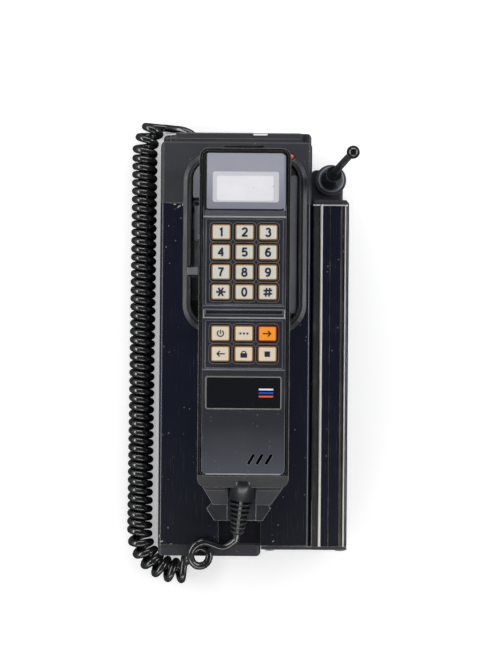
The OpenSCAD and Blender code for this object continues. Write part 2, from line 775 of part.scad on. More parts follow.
// Thumb pad, hinge eye, arm, nose and spring tongue in one moulding
module release_lever() {
    pad_x1 = lever_x0 + lever_w;
    arm_x0 = lever_x0 + 1;
    arm_w = 2.6;
    inner_r = ring_r - ring_wall - lever_gap;
    color("#59595f") difference() {
        union() {
            intersection() {
                along_z(lever_z0, lever_z0 + lever_t)
                    round_rect(lever_x0, lever_x0 + 40, pivot_y - 10,
                               ring_y1 - ring_wall - lever_gap, inner_r);
                block([lever_x0, pivot_y + 16.5, lever_z0], [pad_x1, ring_y1, lever_z0 + lever_t]);
            }
            block([lever_x0, pivot_y + 4, lever_z0], [pad_x1, pivot_y + 17, lever_z0 + lever_t]);
            block([arm_x0, nose_y - nose_w / 2, lever_z0],
                  [arm_x0 + arm_w, pivot_y + 5, lever_z0 + lever_arm_t]);
            block([arm_x0, pivot_y - 23, lever_z0], [pad_x1, pivot_y + 2, lever_z0 + lever_t - 2]);
            translate([pivot_x, pivot_y, lever_z0]) cylinder(h = lever_arm_t, r = pivot_r + 1.6);
            block([lever_x0, pivot_y - 16, lever_z0], [lever_x0 + 0.8, pivot_y - 6, lever_z0 + lever_arm_t]);
            block([lever_x0, pivot_y - 7, lever_z0], [arm_x0 + 1, pivot_y - 6, lever_z0 + lever_arm_t]);
            block([ring_x0 - 1.2, nose_y - nose_w / 2, lever_z0],
                  [arm_x0 + arm_w, nose_y + nose_w / 2, lever_z0 + lever_t - 1]);
        }
        translate([pivot_x, pivot_y, lever_z0 - 1]) cylinder(h = lever_t + 2, r = pivot_r + pin_gap);
    }
}

// ---- Handset ----

// Side view of the handset, anticlockwise in (y, z)
function handset_side() = [
    [bump_y0, bump_z], [bump_y1 - 3, bump_z], [bump_y1, grip_z], [belly_y0 - 14, grip_z],
    [belly_y0, hs_z0], [belly_y1 - 2, hs_z0], [belly_y1, hs_z0 + 2], [belly_y1, hs_z0 + 10.8],
    [hs_y1, rim_z - rim_h], [hs_y1, rim_z], [hs_y0 + facet_l, rim_z], [hs_y0, rim_z - rim_h],
    [hs_y0, hs_z0 + 13.8]
];

// End view of the handset, anticlockwise in (x, z): upright at the rim, then narrowing
function handset_front_view() = let (w = handset_w / 2, d = side_slope * (handset_h - rim_h)) [
    [hs_x - w + d, hs_z0], [hs_x + w - d, hs_z0], [hs_x + w, rim_z - rim_h],
    [hs_x + w, rim_z], [hs_x - w, rim_z], [hs_x - w, rim_z - rim_h]
];

module handset_solid(t) {
    w = handset_w / 2 - t;
    intersection() {
        along_x(hs_x - w, hs_x + w) polygon(inset_outline(handset_side(), t));
        along_y(hs_y0, hs_y1) polygon(inset_outline(handset_front_view(), t));
        along_z(hs_z0, rim_z) round_rect(hs_x - w, hs_x + w, hs_y0 + t, hs_y1 - t, hs_r - t);
    }
}

// The boot's axis: it leaves the lower end's middle, sloping down and a little to the left
boot_root = [hs_x, hs_y0 + 1.5, rim_z - 12];
boot_turn = [-6, 20];
boot_dir = [
    sin(boot_turn[0]) * cos(boot_turn[1]), -cos(boot_turn[0]) * cos(boot_turn[1]), -sin(boot_turn[1])
];
boot_tip = boot_root + boot_l * boot_dir;

// Places a body of revolution drawn about +Z so that +Z runs along the boot's axis
module on_boot_axis() {
    translate(boot_root) rotate([0, 0, boot_turn[0]]) rotate([90 + boot_turn[1], 0, 0]) children();
}

module handset_rear_shell() {
    color("#2b2c31") difference() {
        union() {
            difference() {
                handset_solid(0);
                handset_solid(shell_wall);
                along_z(rim_z - shell_wall - 2, rim_z + 1)
                    round_rect(hs_x - handset_w / 2 + shell_wall, hs_x + handset_w / 2 - shell_wall,
                               hs_y0 + facet_l, hs_y1 - shell_wall, hs_r - shell_wall);
            }
            // Ribs that the board stands on, and the boss that holds the boot
            for (x = [hs_x - board_rib_x, hs_x + board_rib_x])
                block([x - rib_t / 2, bump_y1 + 2, grip_z + 0.5],
                      [x + rib_t / 2, belly_y1 - 4, board_top - handset_board_t]);
            intersection() {
                handset_solid(1);
                on_boot_axis() translate([0, 0, -6]) cylinder(h = 7, r = boot_d / 2 + 1.5);
            }
        }
        on_boot_axis() translate([0, 0, -8]) cylinder(h = 20, r = boot_neck_r + fit);
        on_boot_axis() cylinder(h = 20, r = boot_d / 2 + 0.3);
        // Sound holes of the earpiece and the microphone
        for (a = [0:60:300]) translate([hs_x + 6 * cos(a), ear_y + 6 * sin(a), hs_z0 - 1])
            cylinder(h = shell_wall + 2, r = 1);
        translate([hs_x, ear_y, hs_z0 - 1]) cylinder(h = shell_wall + 2, r = 1);
        translate([hs_x, mouth_y, bump_z - 1]) cylinder(h = shell_wall + 2, r = 1);
    }
}

boot_neck_r = 5.5;
ear_y = hs_y1 - 32;
mouth_y = bump_y0 + 8;

module raised_frame() {
    x0 = hs_x - field_w / 2;
    x1 = hs_x + field_w / 2;
    difference() {
        round_rect(front_x0, front_x1, front_y0, front_y1, front_r);
        for (f = [upper_field, dark_strip, lower_field])
            translate([x0, f[0] + ridge_w]) square([x1 - x0, f[1] - f[0] - 2 * ridge_w]);
    }
}

module handset_front_shell() {
    color("#303238") difference() {
        union() {
            along_z(field_z - front_t, field_z) round_rect(front_x0, front_x1, front_y0, front_y1, front_r);
            along_z(field_z - eps, face_z) raised_frame();
            along_z(skirt_z, field_z - front_t + eps) difference() {
                round_rect(front_x0, front_x1, front_y0, front_y1, front_r);
                round_rect(front_x0 + skirt_t, front_x1 - skirt_t, front_y0 + skirt_t,
                           front_y1 - skirt_t, front_r - skirt_t);
            }
        }
        // Lens seat and window
        along_z(face_z - lens_t, face_z + 1)
            round_rect(hs_x - lens_w / 2 - fit, hs_x + lens_w / 2 + fit, lens_y0 - fit, lens_y1 + fit, 1.5);
        block([hs_x - window_w / 2 - 2, window_y - window_l / 2 - 2, field_z - front_t - 1],
              [hs_x + window_w / 2 + 2, window_y + window_l / 2 + 2, face_z]);
        // Recessed strip between the two keypads
        block([hs_x - field_w / 2, dark_strip[0] + ridge_w, field_z - 0.8],
              [hs_x + field_w / 2, dark_strip[1] - ridge_w, face_z]);
        // Key holes
        for (x = column_x, y = concat(number_y, function_y)) along_z(field_z - front_t - 1, face_z + 1)
            round_rect(x - key_w / 2 - key_gap, x + key_w / 2 + key_gap,
                       y - key_l / 2 - key_gap, y + key_l / 2 + key_gap, key_r);
        // Seat of the name plate, and the slanted mouthpiece slots
        along_z(face_z - plate_t, face_z + 1)
            round_rect(hs_x - plate_w / 2 - fit, hs_x + plate_w / 2 + fit,
                       plate_y - plate_l / 2 - fit, plate_y + plate_l / 2 + fit, 1.2);
        for (x = mic_x) translate([hs_x + x, mic_y, field_z - front_t - 1]) rotate([0, 0, -30])
            translate([-0.85, -3.6, 0]) cube([1.7, 7.2, front_t + 3]);
    }
}

module display_lens() {
    color([0.6, 0.6, 0.64, 0.6]) along_z(face_z - lens_t, face_z)
        round_rect(hs_x - lens_w / 2, hs_x + lens_w / 2, lens_y0, lens_y1, 1.5);
}

module lcd_module() {
    color("#c5c5ce") {
        block([hs_x - window_w / 2, window_y - window_l / 2, board_top],
              [hs_x + window_w / 2, window_y + window_l / 2, board_top + lcd_t]);
        block([hs_x - window_w / 2 - 1.5, window_y - window_l / 2 - 3, board_top],
              [hs_x + window_w / 2 + 1.5, window_y + window_l / 2 + 3, board_top + 2.4]);
    }
}

module handset_board() {
    color("#2c5a34") block([hs_x - handset_board_w / 2, hs_y0 + 26, board_top - handset_board_t],
                           [hs_x + handset_board_w / 2, hs_y1 - 8, board_top]);
}

module keypad_mat() {
    color("#55565a") block([hs_x - field_w / 2, function_y[1] - key_pitch_y / 2, board_top],
                           [hs_x + field_w / 2, number_y[0] + key_pitch_y / 2, mat_top]);
}

module earpiece_speaker() {
    color("#26272a") translate([hs_x, ear_y, hs_z0 + shell_wall]) {
        cylinder(h = 6, r = 16);
        cylinder(h = 9, r = 9);
    }
}

module microphone() {
    color("#9a9ca0") translate([hs_x, mouth_y, bump_z + shell_wall]) cylinder(h = 5, r = 5);
}

module hook_magnet() {
    color("#77797d") translate([hs_x - 16, mouth_y, bump_z + shell_wall]) cylinder(h = 3, r = 4);
}

module name_plate() {
    color("#121418") along_z(face_z - plate_t, face_z)
        round_rect(hs_x - plate_w / 2, hs_x + plate_w / 2,
                   plate_y - plate_l / 2, plate_y + plate_l / 2, 1.2);
}

// Ribbed strain relief: a collar, seven grooves and a taper to the cord
module cord_boot() {
    collar_l = 11;
    tip_r = 4.2;
    ribs = 7;
    pitch = (boot_l - collar_l) / ribs;
    function taper(z) = z < collar_l ? boot_d / 2
        : boot_d / 2 + (tip_r - boot_d / 2) * (z - collar_l) / (boot_l - collar_l);
    color("#232428") on_boot_axis() rotate_extrude() polygon(concat(
        [[0, -5], [boot_neck_r, -5], [boot_neck_r, 0.2], [boot_d / 2 - 1, 0.2], [boot_d / 2, 1.4]],
        [for (i = [0:ribs - 1], step = [0:3]) let (z = collar_l + i * pitch)
            step == 0 ? [taper(z), z] : step == 1 ? [taper(z) - 1.6, z + 0.15]
            : step == 2 ? [taper(z + pitch) - 1.6, z + pitch * 0.4]
            : [taper(z + pitch * 0.44), z + pitch * 0.44]],
        [[tip_r, boot_l], [0, boot_l]]
    ));
}

// A key: cap, retaining flange and stem
module key(column, y) {
    x = column_x[column];
    along_z(key_z0 + 0.2, field_z + key_rise)
        round_rect(x - key_w / 2, x + key_w / 2, y - key_l / 2, y + key_l / 2, key_r - key_gap);
    along_z(key_z0, key_z0 + key_flange_t - 0.05)
        round_rect(x - key_w / 2 - key_flange, x + key_w / 2 + key_flange,
                   y - key_l / 2 - key_flange, y + key_l / 2 + key_flange, key_r);
    translate([x, y, key_z0 - stem_l]) cylinder(h = stem_l + 0.5, r = 2);
}

module number_key(i) {
    color("#d0cec4") key(i % 3, number_y[floor(i / 3)]);
}
module function_key(i, tint = "#decaba") {
    color(tint) key(i % 3, function_y[floor(i / 3)]);
}

// ---- Battery ----

battery_y0 = case_y0 - rail_gap;
sleeve_y1 = shoulder_y0 - rail_gap - battery_cap_l;
// As many cells in a row as leave room for a solid end at each end
least_plug_l = 4;
cells_per_row = floor((sleeve_y1 - battery_y0 - 2 * least_plug_l) / cell_l);
battery_edge_r = 2;
rail_inset = 1;

// The sleeve's outside: a rounded box with raised and sunk lines along its face
crest_x = battery_x0 + 5.95;
crest_r = 0.75;
ridge_x = battery_x1 - 2.4;
ridge_r = 0.6;
module sleeve_outline() {
    difference() {
        union() {
            round_rect(battery_x0, battery_x1, case_z0, case_z1, battery_edge_r);
            translate([crest_x, case_z1]) circle(crest_r);
            translate([ridge_x, case_z1 - 0.3]) circle(ridge_r);
        }
        translate([ridge_x - 2.75, case_z1 - 0.3]) square([1, 1]);
        translate([crest_x - 4.8, case_z1 - 0.2]) square([4, 1]);
        translate([crest_x + 0.75, case_z1 - 0.2]) square([4.9, 1]);
    }
}

module battery_sleeve() {
    color("#1c1f26") {
        along_y(battery_y0, sleeve_y1) difference() {
            sleeve_outline();
            round_rect(battery_x0 + battery_wall, battery_x1 - battery_wall, case_z0 + battery_wall,
                       case_z1 - battery_wall, battery_edge_r - battery_wall);
        }
        along_y(battery_y0, case_y1 - rail_inset) {
            translate([channel_x0 + rail_gap, mid_z - rail_head_w / 2])
                square([rail_head_t, rail_head_w]);
            translate([channel_x0 + rail_gap, mid_z - rail_neck_w / 2])
                square([battery_x0 - channel_x0 - rail_gap + battery_wall / 2, rail_neck_w]);
        }
    }
}

module battery_top_cap() {
    color("#2c2d32") {
        intersection() {
            along_y(sleeve_y1, sleeve_y1 + battery_cap_l)
                round_rect(battery_x0, battery_x1, case_z0, case_z1, battery_edge_r);
            along_z(case_z0, case_z1) polygon([
                [battery_x0, sleeve_y1], [battery_x1, sleeve_y1], [battery_x1, sleeve_y1 + 1],
                [battery_x1 - 2, sleeve_y1 + battery_cap_l], [battery_x0, sleeve_y1 + battery_cap_l]
            ]);
        }
        plug_block(sleeve_y1 - plug_block_l, sleeve_y1 + eps);
    }
}

// The part of an end piece that fills the sleeve as far as the cells
plug_block_l = (sleeve_y1 - battery_y0 - cells_per_row * cell_l) / 2 - fit;
module plug_block(y0, y1) {
    c = battery_wall + fit;
    along_y(y0, y1)
        round_rect(battery_x0 + c, battery_x1 - c, case_z0 + c, case_z1 - c, battery_edge_r - battery_wall);
}

plate_screw_x = [case_x0 + cap_flange_w + 6, battery_x1 - 4];
plate_screw_z = case_z1 - 9;

module battery_foot_plate() {
    y1 = battery_y0;
    color("#55575c") difference() {
        union() {
            along_y(y1 - foot_plate_t, y1)
                round_rect(case_x0 + cap_flange_w + 0.3, battery_x1, case_z0, case_z1 - 0.5, 1.5);
            plug_block(y1 - eps, y1 + plug_block_l);
        }
        for (x = plate_screw_x) rod_y(x, plate_screw_z, y1 - foot_plate_t - 1, y1 + 4, screw_r + fit);
    }
}

module battery_cells() {
    color("#3f6f4f") for (i = [0:cells_per_row - 1], side = [-1, 1])
        rod_y((battery_x0 + battery_x1) / 2, mid_z + side * (cell_d / 2 + fit / 2),
              battery_y0 + plug_block_l + fit + i * cell_l + 0.02,
              battery_y0 + plug_block_l + fit + (i + 1) * cell_l - 0.02, cell_d / 2);
}

module battery_screws() {
    y1 = battery_y0 - foot_plate_t;
    color("#a3a5a9") for (x = plate_screw_x) {
        rod_y(x, plate_screw_z, y1 - 0.1, y1 + foot_plate_t + 3, screw_r);
        rod_y(x, plate_screw_z, y1 - 1.4, y1, 3);
    }
}

// ---- Antenna ----

module antenna_nut() {
    flat_t = nut_t - nut_chamfer;
    color("#1f2023") translate([antenna_x, antenna_y, stud_z0 + 0.2]) difference() {
        union() {
            cylinder(h = flat_t + eps, r = nut_r);
            translate([0, 0, flat_t]) cylinder(h = nut_chamfer, r1 = nut_r, r2 = nut_r - nut_chamfer);
        }
        translate([0, 0, -1]) cylinder(h = nut_t + 2, r = stud_d / 2 + thread_gap);
    }
}

module antenna_base() {
    z1 = stud_z0 + 0.2 + nut_t + 0.1;
    bore_z = stud_z0 + stud_l + 0.4;
    color("#17181b") translate([antenna_x, antenna_y, 0]) difference() {
        union() {
            translate([0, 0, z1]) cylinder(h = base_z1 - z1, r1 = base_r0, r2 = base_r1);
            translate([0, 0, base_z1 - 1.6]) cylinder(h = 1.6, r = base_r1 + 0.35);
        }
        translate([0, 0, z1 - 1]) difference() {
            cylinder(h = bore_z - z1 + 1, r = stud_d / 2 + pin_gap);
            cylinder(h = bore_z - z1 + 2, r = pin_r);
        }
        translate([0, 0, base_z1 - whip_seat]) cylinder(h = whip_seat + 1, r = whip_r0 + fit / 2);
    }
}

module antenna_whip() {
    color("#1a1b1e") translate([antenna_x, antenna_y, base_z1]) {
        translate([0, 0, fit - whip_seat]) cylinder(h = whip_seat, r = whip_r0);
        cylinder(h = whip_l, r1 = whip_r0, r2 = whip_r1);
        translate([0, 0, whip_l - tip_l]) cylinder(h = tip_l - 1, r1 = whip_r1 + 0.5, r2 = tip_d / 2 - 0.1);
        translate([0, 0, whip_l]) sphere(tip_d / 2);
    }
}

// ---- Cord ----

function unit(v) = v / norm(v);

// The axis of the curls: distance along it -> [point, direction that a curl faces in degrees]
run_v = [run_x0 - run_x1, run_y0 - run_y1];
run_len = norm(run_v);
run_a = atan2(run_v[1], run_v[0]);
top_len = top_bend_r * top_bend_a * PI / 180;
fan_len = fan_r * fan_a * PI / 180;
function left_of(a) = [-sin(a), cos(a)];
function axis_at(s) =
    s < top_len ? let (turned = (top_len - s) / top_bend_r * 180 / PI, a = run_a - turned)
        [[run_x1, run_y1] + top_bend_r * (left_of(run_a) - left_of(a)), run_a - turned * top_turn]
    : s < top_len + run_len ? [[run_x1, run_y1] + run_v * (s - top_len) / run_len, run_a]
    : let (turned = (s - top_len - run_len) / fan_r * 180 / PI, a = run_a + turned)
        [[run_x0, run_y0] + fan_r * (left_of(run_a) - left_of(a)), a];

// Turns made by the distance s along the axis
function turns_at(s) =
    s < top_len ? top_curls * s / top_len
    : s < top_len + run_len ? top_curls + run_curls * (s - top_len) / run_len
    : top_curls + run_curls + fan_curls * (s - top_len - run_len) / fan_len;
function axis_s(turns) =
    turns < top_curls ? top_len * turns / top_curls
    : turns < top_curls + run_curls ? top_len + run_len * (turns - top_curls) / run_curls
    : top_len + run_len + fan_len * (turns - top_curls - run_curls) / fan_curls;

// A point of the curl after some turns: it starts underneath and rises on its left-hand side
function curl_point(turns) =
    let (at = axis_at(axis_s(turns)), side = left_of(at[1]), t = turns * 360)
    [at[0][0] - side[0] * curl_r * sin(t), at[0][1] - side[1] * curl_r * sin(t), coil_z - curl_r * cos(t)];

total_curls = top_curls + run_curls + fan_curls;
curl_points = [for (i = [0:total_curls * curl_rings]) curl_point(i / curl_rings)];
start_dir = unit(curl_points[0] - curl_points[1] + [0, 0, curl_points[1][2] - curl_points[0][2]]);
end_dir = let (n = len(curl_points) - 1, v = curl_points[n] - curl_points[n - 1]) unit([v[0], v[1], 0]);
coil_line = concat(
    [curl_points[0] + start_dir * cord_d], curl_points,
    [curl_points[len(curl_points) - 1] + end_dir * cord_d]
);

// Hand-laid routes, from the plug to the curls and from the curls to the boot
tail_route = [
    [-40.3, 137.2, 11.9], [-42.9, 140.2, 11.3], [-46.6, 142.1, 10], [-50.6, 143.2, 8.2], [-55, 143.9, 5.6]
];
lead_route = [
    [-44.9, -142.7, 15.7], [-44, -140.4, 18.7], [-43, -140.3, 28], [-42.6, -140.7, 36],
    [-42.6, -141.6, 43], [-42, -140, 49], [-39.6, -135, 51], [-34.4, -131.2, 51],
    [-29.4, -132.6, 50.9], [-27.6, -137, 51.1], [-30, -141.6, 51.9], [-34.8, -142.6, 53.3],
    [-38.6, -139.4, 55.2], [-39.2, -133.6, 57.2], [-36, -128.6, 58.4], [-31, -126.6, 58.2],
    [-26, -127.8, 57.2], [-21, -129.6, 56.6], [-16, -129.4, 57]
];
tail_line = concat(
    [[plug_x, plug_end_y, plug_z], [plug_x, plug_end_y + cord_d, plug_z]], tail_route,
    [coil_line[0] + start_dir * 2, coil_line[0]]
);
lead_line = concat(
    [coil_line[len(coil_line) - 1], coil_line[len(coil_line) - 1] + end_dir * 1.5], lead_route,
    [boot_tip + boot_dir * (cord_d + eps)]
);

// A smooth curve through points, with some steps between each two
function smooth(p, steps) = concat([for (i = [0:len(p) - 2], k = [0:steps - 1])
    let (a = p[max(i - 1, 0)], b = p[i], c = p[i + 1], d = p[min(i + 2, len(p) - 1)], t = k / steps)
    ((2 * b) + (c - a) * t + (2 * a - 5 * b + 4 * c - d) * t * t + (3 * b - a - 3 * c + d) * t * t * t) / 2
], [p[len(p) - 1]]);

// Sweeps a tube along a line; its end faces are square to the first and last steps
module tube(line, sides, r) {
    n = len(line);
    t = [for (i = [0:n - 1]) unit(line[min(i + 1, n - 1)] - line[max(i - 1, 0)])];
    u = [for (i = 0, v = unit(cross(t[0], [0.3, 0.2, 1])); i < n;
        i = i + 1, v = i < n ? unit(v - (v * t[i]) * t[i]) : v) v];
    points = [for (i = [0:n - 1], k = [0:sides - 1]) let (a = k * 360 / sides)
        line[i] + r * (cos(a) * u[i] + sin(a) * cross(t[i], u[i]))];
    walls = [for (i = [0:n - 2], k = [0:sides - 1])
        let (a = i * sides + k, b = i * sides + (k + 1) % sides)
        each [[a, b, b + sides], [a, b + sides, a + sides]]];
    last = (n - 1) * sides;
    ends = [for (k = [1:sides - 2]) each [[0, k + 1, k], [last, last + k, last + k + 1]]];
    polyhedron(points, [for (f = concat(walls, ends)) [f[2], f[1], f[0]]], convexity = 10);
}

// Least distance between the middles of neighbouring curls, less the cord's thickness
coil_fine = [for (i = [0:total_curls * 24]) curl_point(i / 24)];
coil_gap = min([for (i = [0:len(coil_fine) - 36], k = [12:36])
    if (i + k < len(coil_fine)) norm(coil_fine[i] - coil_fine[i + k])]) - cord_d;
echo(least_gap_between_curls = coil_gap);  // cord_coil

module cord_plug() {
    y0 = bay_y0 - plug_in;
    color("#1d1e20") difference() {
        union() {
            block([plug_x - plug_w / 2, y0, plug_z - plug_h / 2],
                  [plug_x + plug_w / 2, plug_end_y - 5, plug_z + plug_h / 2]);
            rod_y(plug_x, plug_z, plug_end_y - 5 - eps, plug_end_y, cord_d / 2 + 1);
        }
        block([plug_x - plug_w, plug_end_y - 8, plug_z + 2],
              [plug_x + plug_w, plug_end_y - 6, plug_z + plug_h]);
    }
}

module cord_tail() {
    color("#1f2023") tube(smooth(tail_line, smooth_steps), tube_sides, cord_d / 2);
}

module cord_coil() {
    color("#1f2023") tube(coil_line, coil_sides, cord_d / 2);
}

module cord_lead() {
    line = concat(smooth(lead_line, smooth_steps), [boot_tip + boot_dir * eps]);
    color("#1f2023") tube(line, tube_sides, cord_d / 2);
}

transceiver_case();
top_cap();
bottom_cap();
cradle_cup();
cradle_rest();
cradle_screws();
end_screws();
rubber_feet();
status_led();
radio_board();
shield_cans();
duplexer();
handset_socket();
power_socket();
antenna_block();
antenna_jack();
battery_contacts();
reed_switch();
cord_plug();
cord_tail();
cord_coil();
cord_lead();
release_lever();
handset_rear_shell();
handset_front_shell();
display_lens();
lcd_module();
handset_board();
keypad_mat();
earpiece_speaker();
microphone();
name_plate();
cord_boot();
hook_magnet();
number_key(0);  // key_1
number_key(1);  // key_2
number_key(2);  // key_3
number_key(3);  // key_4
number_key(4);  // key_5
number_key(5);  // key_6
number_key(6);  // key_7
number_key(7);  // key_8
number_key(8);  // key_9
number_key(9);  // key_star
number_key(10);  // key_0
number_key(11);  // key_hash
function_key(0);  // fkey_1
function_key(1);  // fkey_2
function_key(2, "#ffa028");  // fkey_3
function_key(3);  // fkey_4
function_key(4);  // fkey_5
function_key(5);  // fkey_6
battery_sleeve();
battery_top_cap();
battery_foot_plate();
battery_cells();
battery_screws();
antenna_nut();
antenna_base();
antenna_whip();
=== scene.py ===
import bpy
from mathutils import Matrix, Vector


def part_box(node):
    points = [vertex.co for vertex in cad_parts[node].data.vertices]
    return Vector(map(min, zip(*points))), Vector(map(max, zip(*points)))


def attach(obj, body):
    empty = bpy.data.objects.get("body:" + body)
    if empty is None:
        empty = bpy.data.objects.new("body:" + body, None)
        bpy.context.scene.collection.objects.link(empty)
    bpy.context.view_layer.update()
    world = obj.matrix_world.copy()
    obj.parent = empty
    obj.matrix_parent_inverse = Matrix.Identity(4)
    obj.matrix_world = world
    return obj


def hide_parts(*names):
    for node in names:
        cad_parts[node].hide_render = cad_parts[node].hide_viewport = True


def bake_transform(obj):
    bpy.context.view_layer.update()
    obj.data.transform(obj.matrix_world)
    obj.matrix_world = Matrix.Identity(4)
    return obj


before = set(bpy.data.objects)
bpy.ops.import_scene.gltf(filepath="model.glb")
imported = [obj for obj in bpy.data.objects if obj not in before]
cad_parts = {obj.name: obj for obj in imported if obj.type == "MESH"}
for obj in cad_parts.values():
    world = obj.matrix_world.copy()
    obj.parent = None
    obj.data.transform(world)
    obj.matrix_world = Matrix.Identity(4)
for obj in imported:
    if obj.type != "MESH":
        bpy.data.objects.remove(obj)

"""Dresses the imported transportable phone: its cord, keys, display, trims, materials and light.

Lengths are in metres, in the same frame as the CAD model. Most pieces are placed from the CAD nodes'
own boxes, so they follow a change of size in the source. The cord, the boot, and the unit's skins and
chips stand at fixed places.
"""

import logging
import math
from collections.abc import Iterable
from dataclasses import dataclass, field
from enum import Enum

import bmesh
import bpy
from mathutils import Matrix, Vector

LOG = logging.getLogger("phone")
MM = 0.001
# Steps in a drawn arc, and how far its strokes run into each other
ARC_STEPS = 14
STROKE_OVERLAP = 1.25
# Distances in metres under which two points count as level, and as one
LEVEL = 1e-7
MERGE = 1e-6
# Cosine of the turn between a face and its rounded edge, where the pale edge starts and where it is full
PALE_EDGE_TURN = (0.995, 0.90)
# Noise levels between which patches of pale edge and scratches come in
PATCHES = (0.42, 0.62)
# Noise sizes per metre: broad smudges, and the fine scratches in them
BROAD_SCALE = 45.0
SCRATCH_SCALE = 1900.0
# How little brushed grain and scratches change along their length
BRUSHED_STRETCH = (1.0, 0.012, 1.0)
SCRATCH_STRETCH = (1.0, 0.03, 1.0)
# Noise levels between which a scratch comes in
SCRATCH_LEVELS = (0.60, 0.80)
# Specks: the share of cells without one, their largest radius in cells, and their soft edge
SPECK_FREE = 0.5
SPECK_RADIUS = 0.19
SPECK_SOFTNESS = 0.03
# How far smudges lower and raise the roughness, and its least value
SMUDGE_SHINE = 0.06
SMUDGE_DULL = 0.08
LEAST_ROUGHNESS = 0.02
COAT_ROUGHNESS = 0.08


# ---- Node and colour helpers ----

def linear(code: str) -> tuple[float, float, float, float]:
    """Turns an sRGB hex colour into linear light.

    Args:
        code: Six hex digits, such as "1d2029".

    Returns:
        Red, green, blue and an alpha of 1.
    """
    parts = [int(code[i:i + 2], 16) / 255 for i in (0, 2, 4)]
    r, g, b = (c / 12.92 if c <= 0.04045 else ((c + 0.055) / 1.055) ** 2.4 for c in parts)
    return r, g, b, 1.0


Source = bpy.types.NodeSocket | float | tuple | None


def add(tree: bpy.types.NodeTree, kind: str, links: dict[str | int, Source] | None = None,
        **settings: object) -> bpy.types.Node:
    """Adds a node with its settings, values and links.

    Args:
        tree: The node tree that gets the node.
        kind: The node's type name, such as "ShaderNodeMix".
        links: Input name or number to a value, or to the output socket that feeds it.
        **settings: Properties of the node itself.

    Returns:
        The new node.
    """
    node = tree.nodes.new(kind)
    for name, value in settings.items():
        setattr(node, name, value)
    for key, value in (links or {}).items():
        if isinstance(value, bpy.types.NodeSocket):
            tree.links.new(value, node.inputs[key])
        elif value is not None:
            node.inputs[key].default_value = value
    return node


def blank_material(name: str) -> tuple[bpy.types.Material, bpy.types.NodeTree, bpy.types.Node]:
    """Starts a node material with one Principled shader.

    Args:
        name: The material's name.

    Returns:
        The material, its tree and the shader node.
    """
    material = bpy.data.materials.new(name)
    material.use_nodes = True
    tree = material.node_tree
    tree.nodes.clear()
    shader = add(tree, "ShaderNodeBsdfPrincipled")
    add(tree, "ShaderNodeOutputMaterial", {"Surface": shader.outputs["BSDF"]})
    return material, tree, shader


def band(tree: bpy.types.NodeTree, value: bpy.types.NodeSocket, low: float, high: float) -> bpy.types.NodeSocket:
    """Stretches a value from low..high to a mask from 0 to 1.

    Args:
        tree: The node tree.
        value: The value to stretch.
        low: Where the mask is 0.
        high: Where the mask is 1.

    Returns:
        The mask's socket.
    """
    ramp = add(tree, "ShaderNodeMapRange", {"Value": value, "From Min": low, "From Max": high})
    return ramp.outputs["Result"]


def blend_colour(tree: bpy.types.NodeTree, mask: Source, low: Source, high: Source) -> bpy.types.NodeSocket:
    """Mixes two colours by a mask.

    Args:
        tree: The node tree.
        mask: 0 for the first colour, 1 for the second.
        low: The first colour.
        high: The second colour.

    Returns:
        The mixed colour's socket.
    """
    mix = add(tree, "ShaderNodeMix", {0: mask, 6: low, 7: high}, data_type="RGBA")
    return mix.outputs[2]


def times(tree: bpy.types.NodeTree, a: Source, b: Source) -> bpy.types.NodeSocket:
    """Multiplies two masks and returns the product's socket."""
    return add(tree, "ShaderNodeMath", {0: a, 1: b}, operation="MULTIPLY").outputs[0]


class Grain(Enum):
    """How a surface was made, which decides its finest pattern."""

    MOULDED = "spark-eroded mould texture"
    SMOOTH = "polished mould"
    BRUSHED = "brushed along its length"


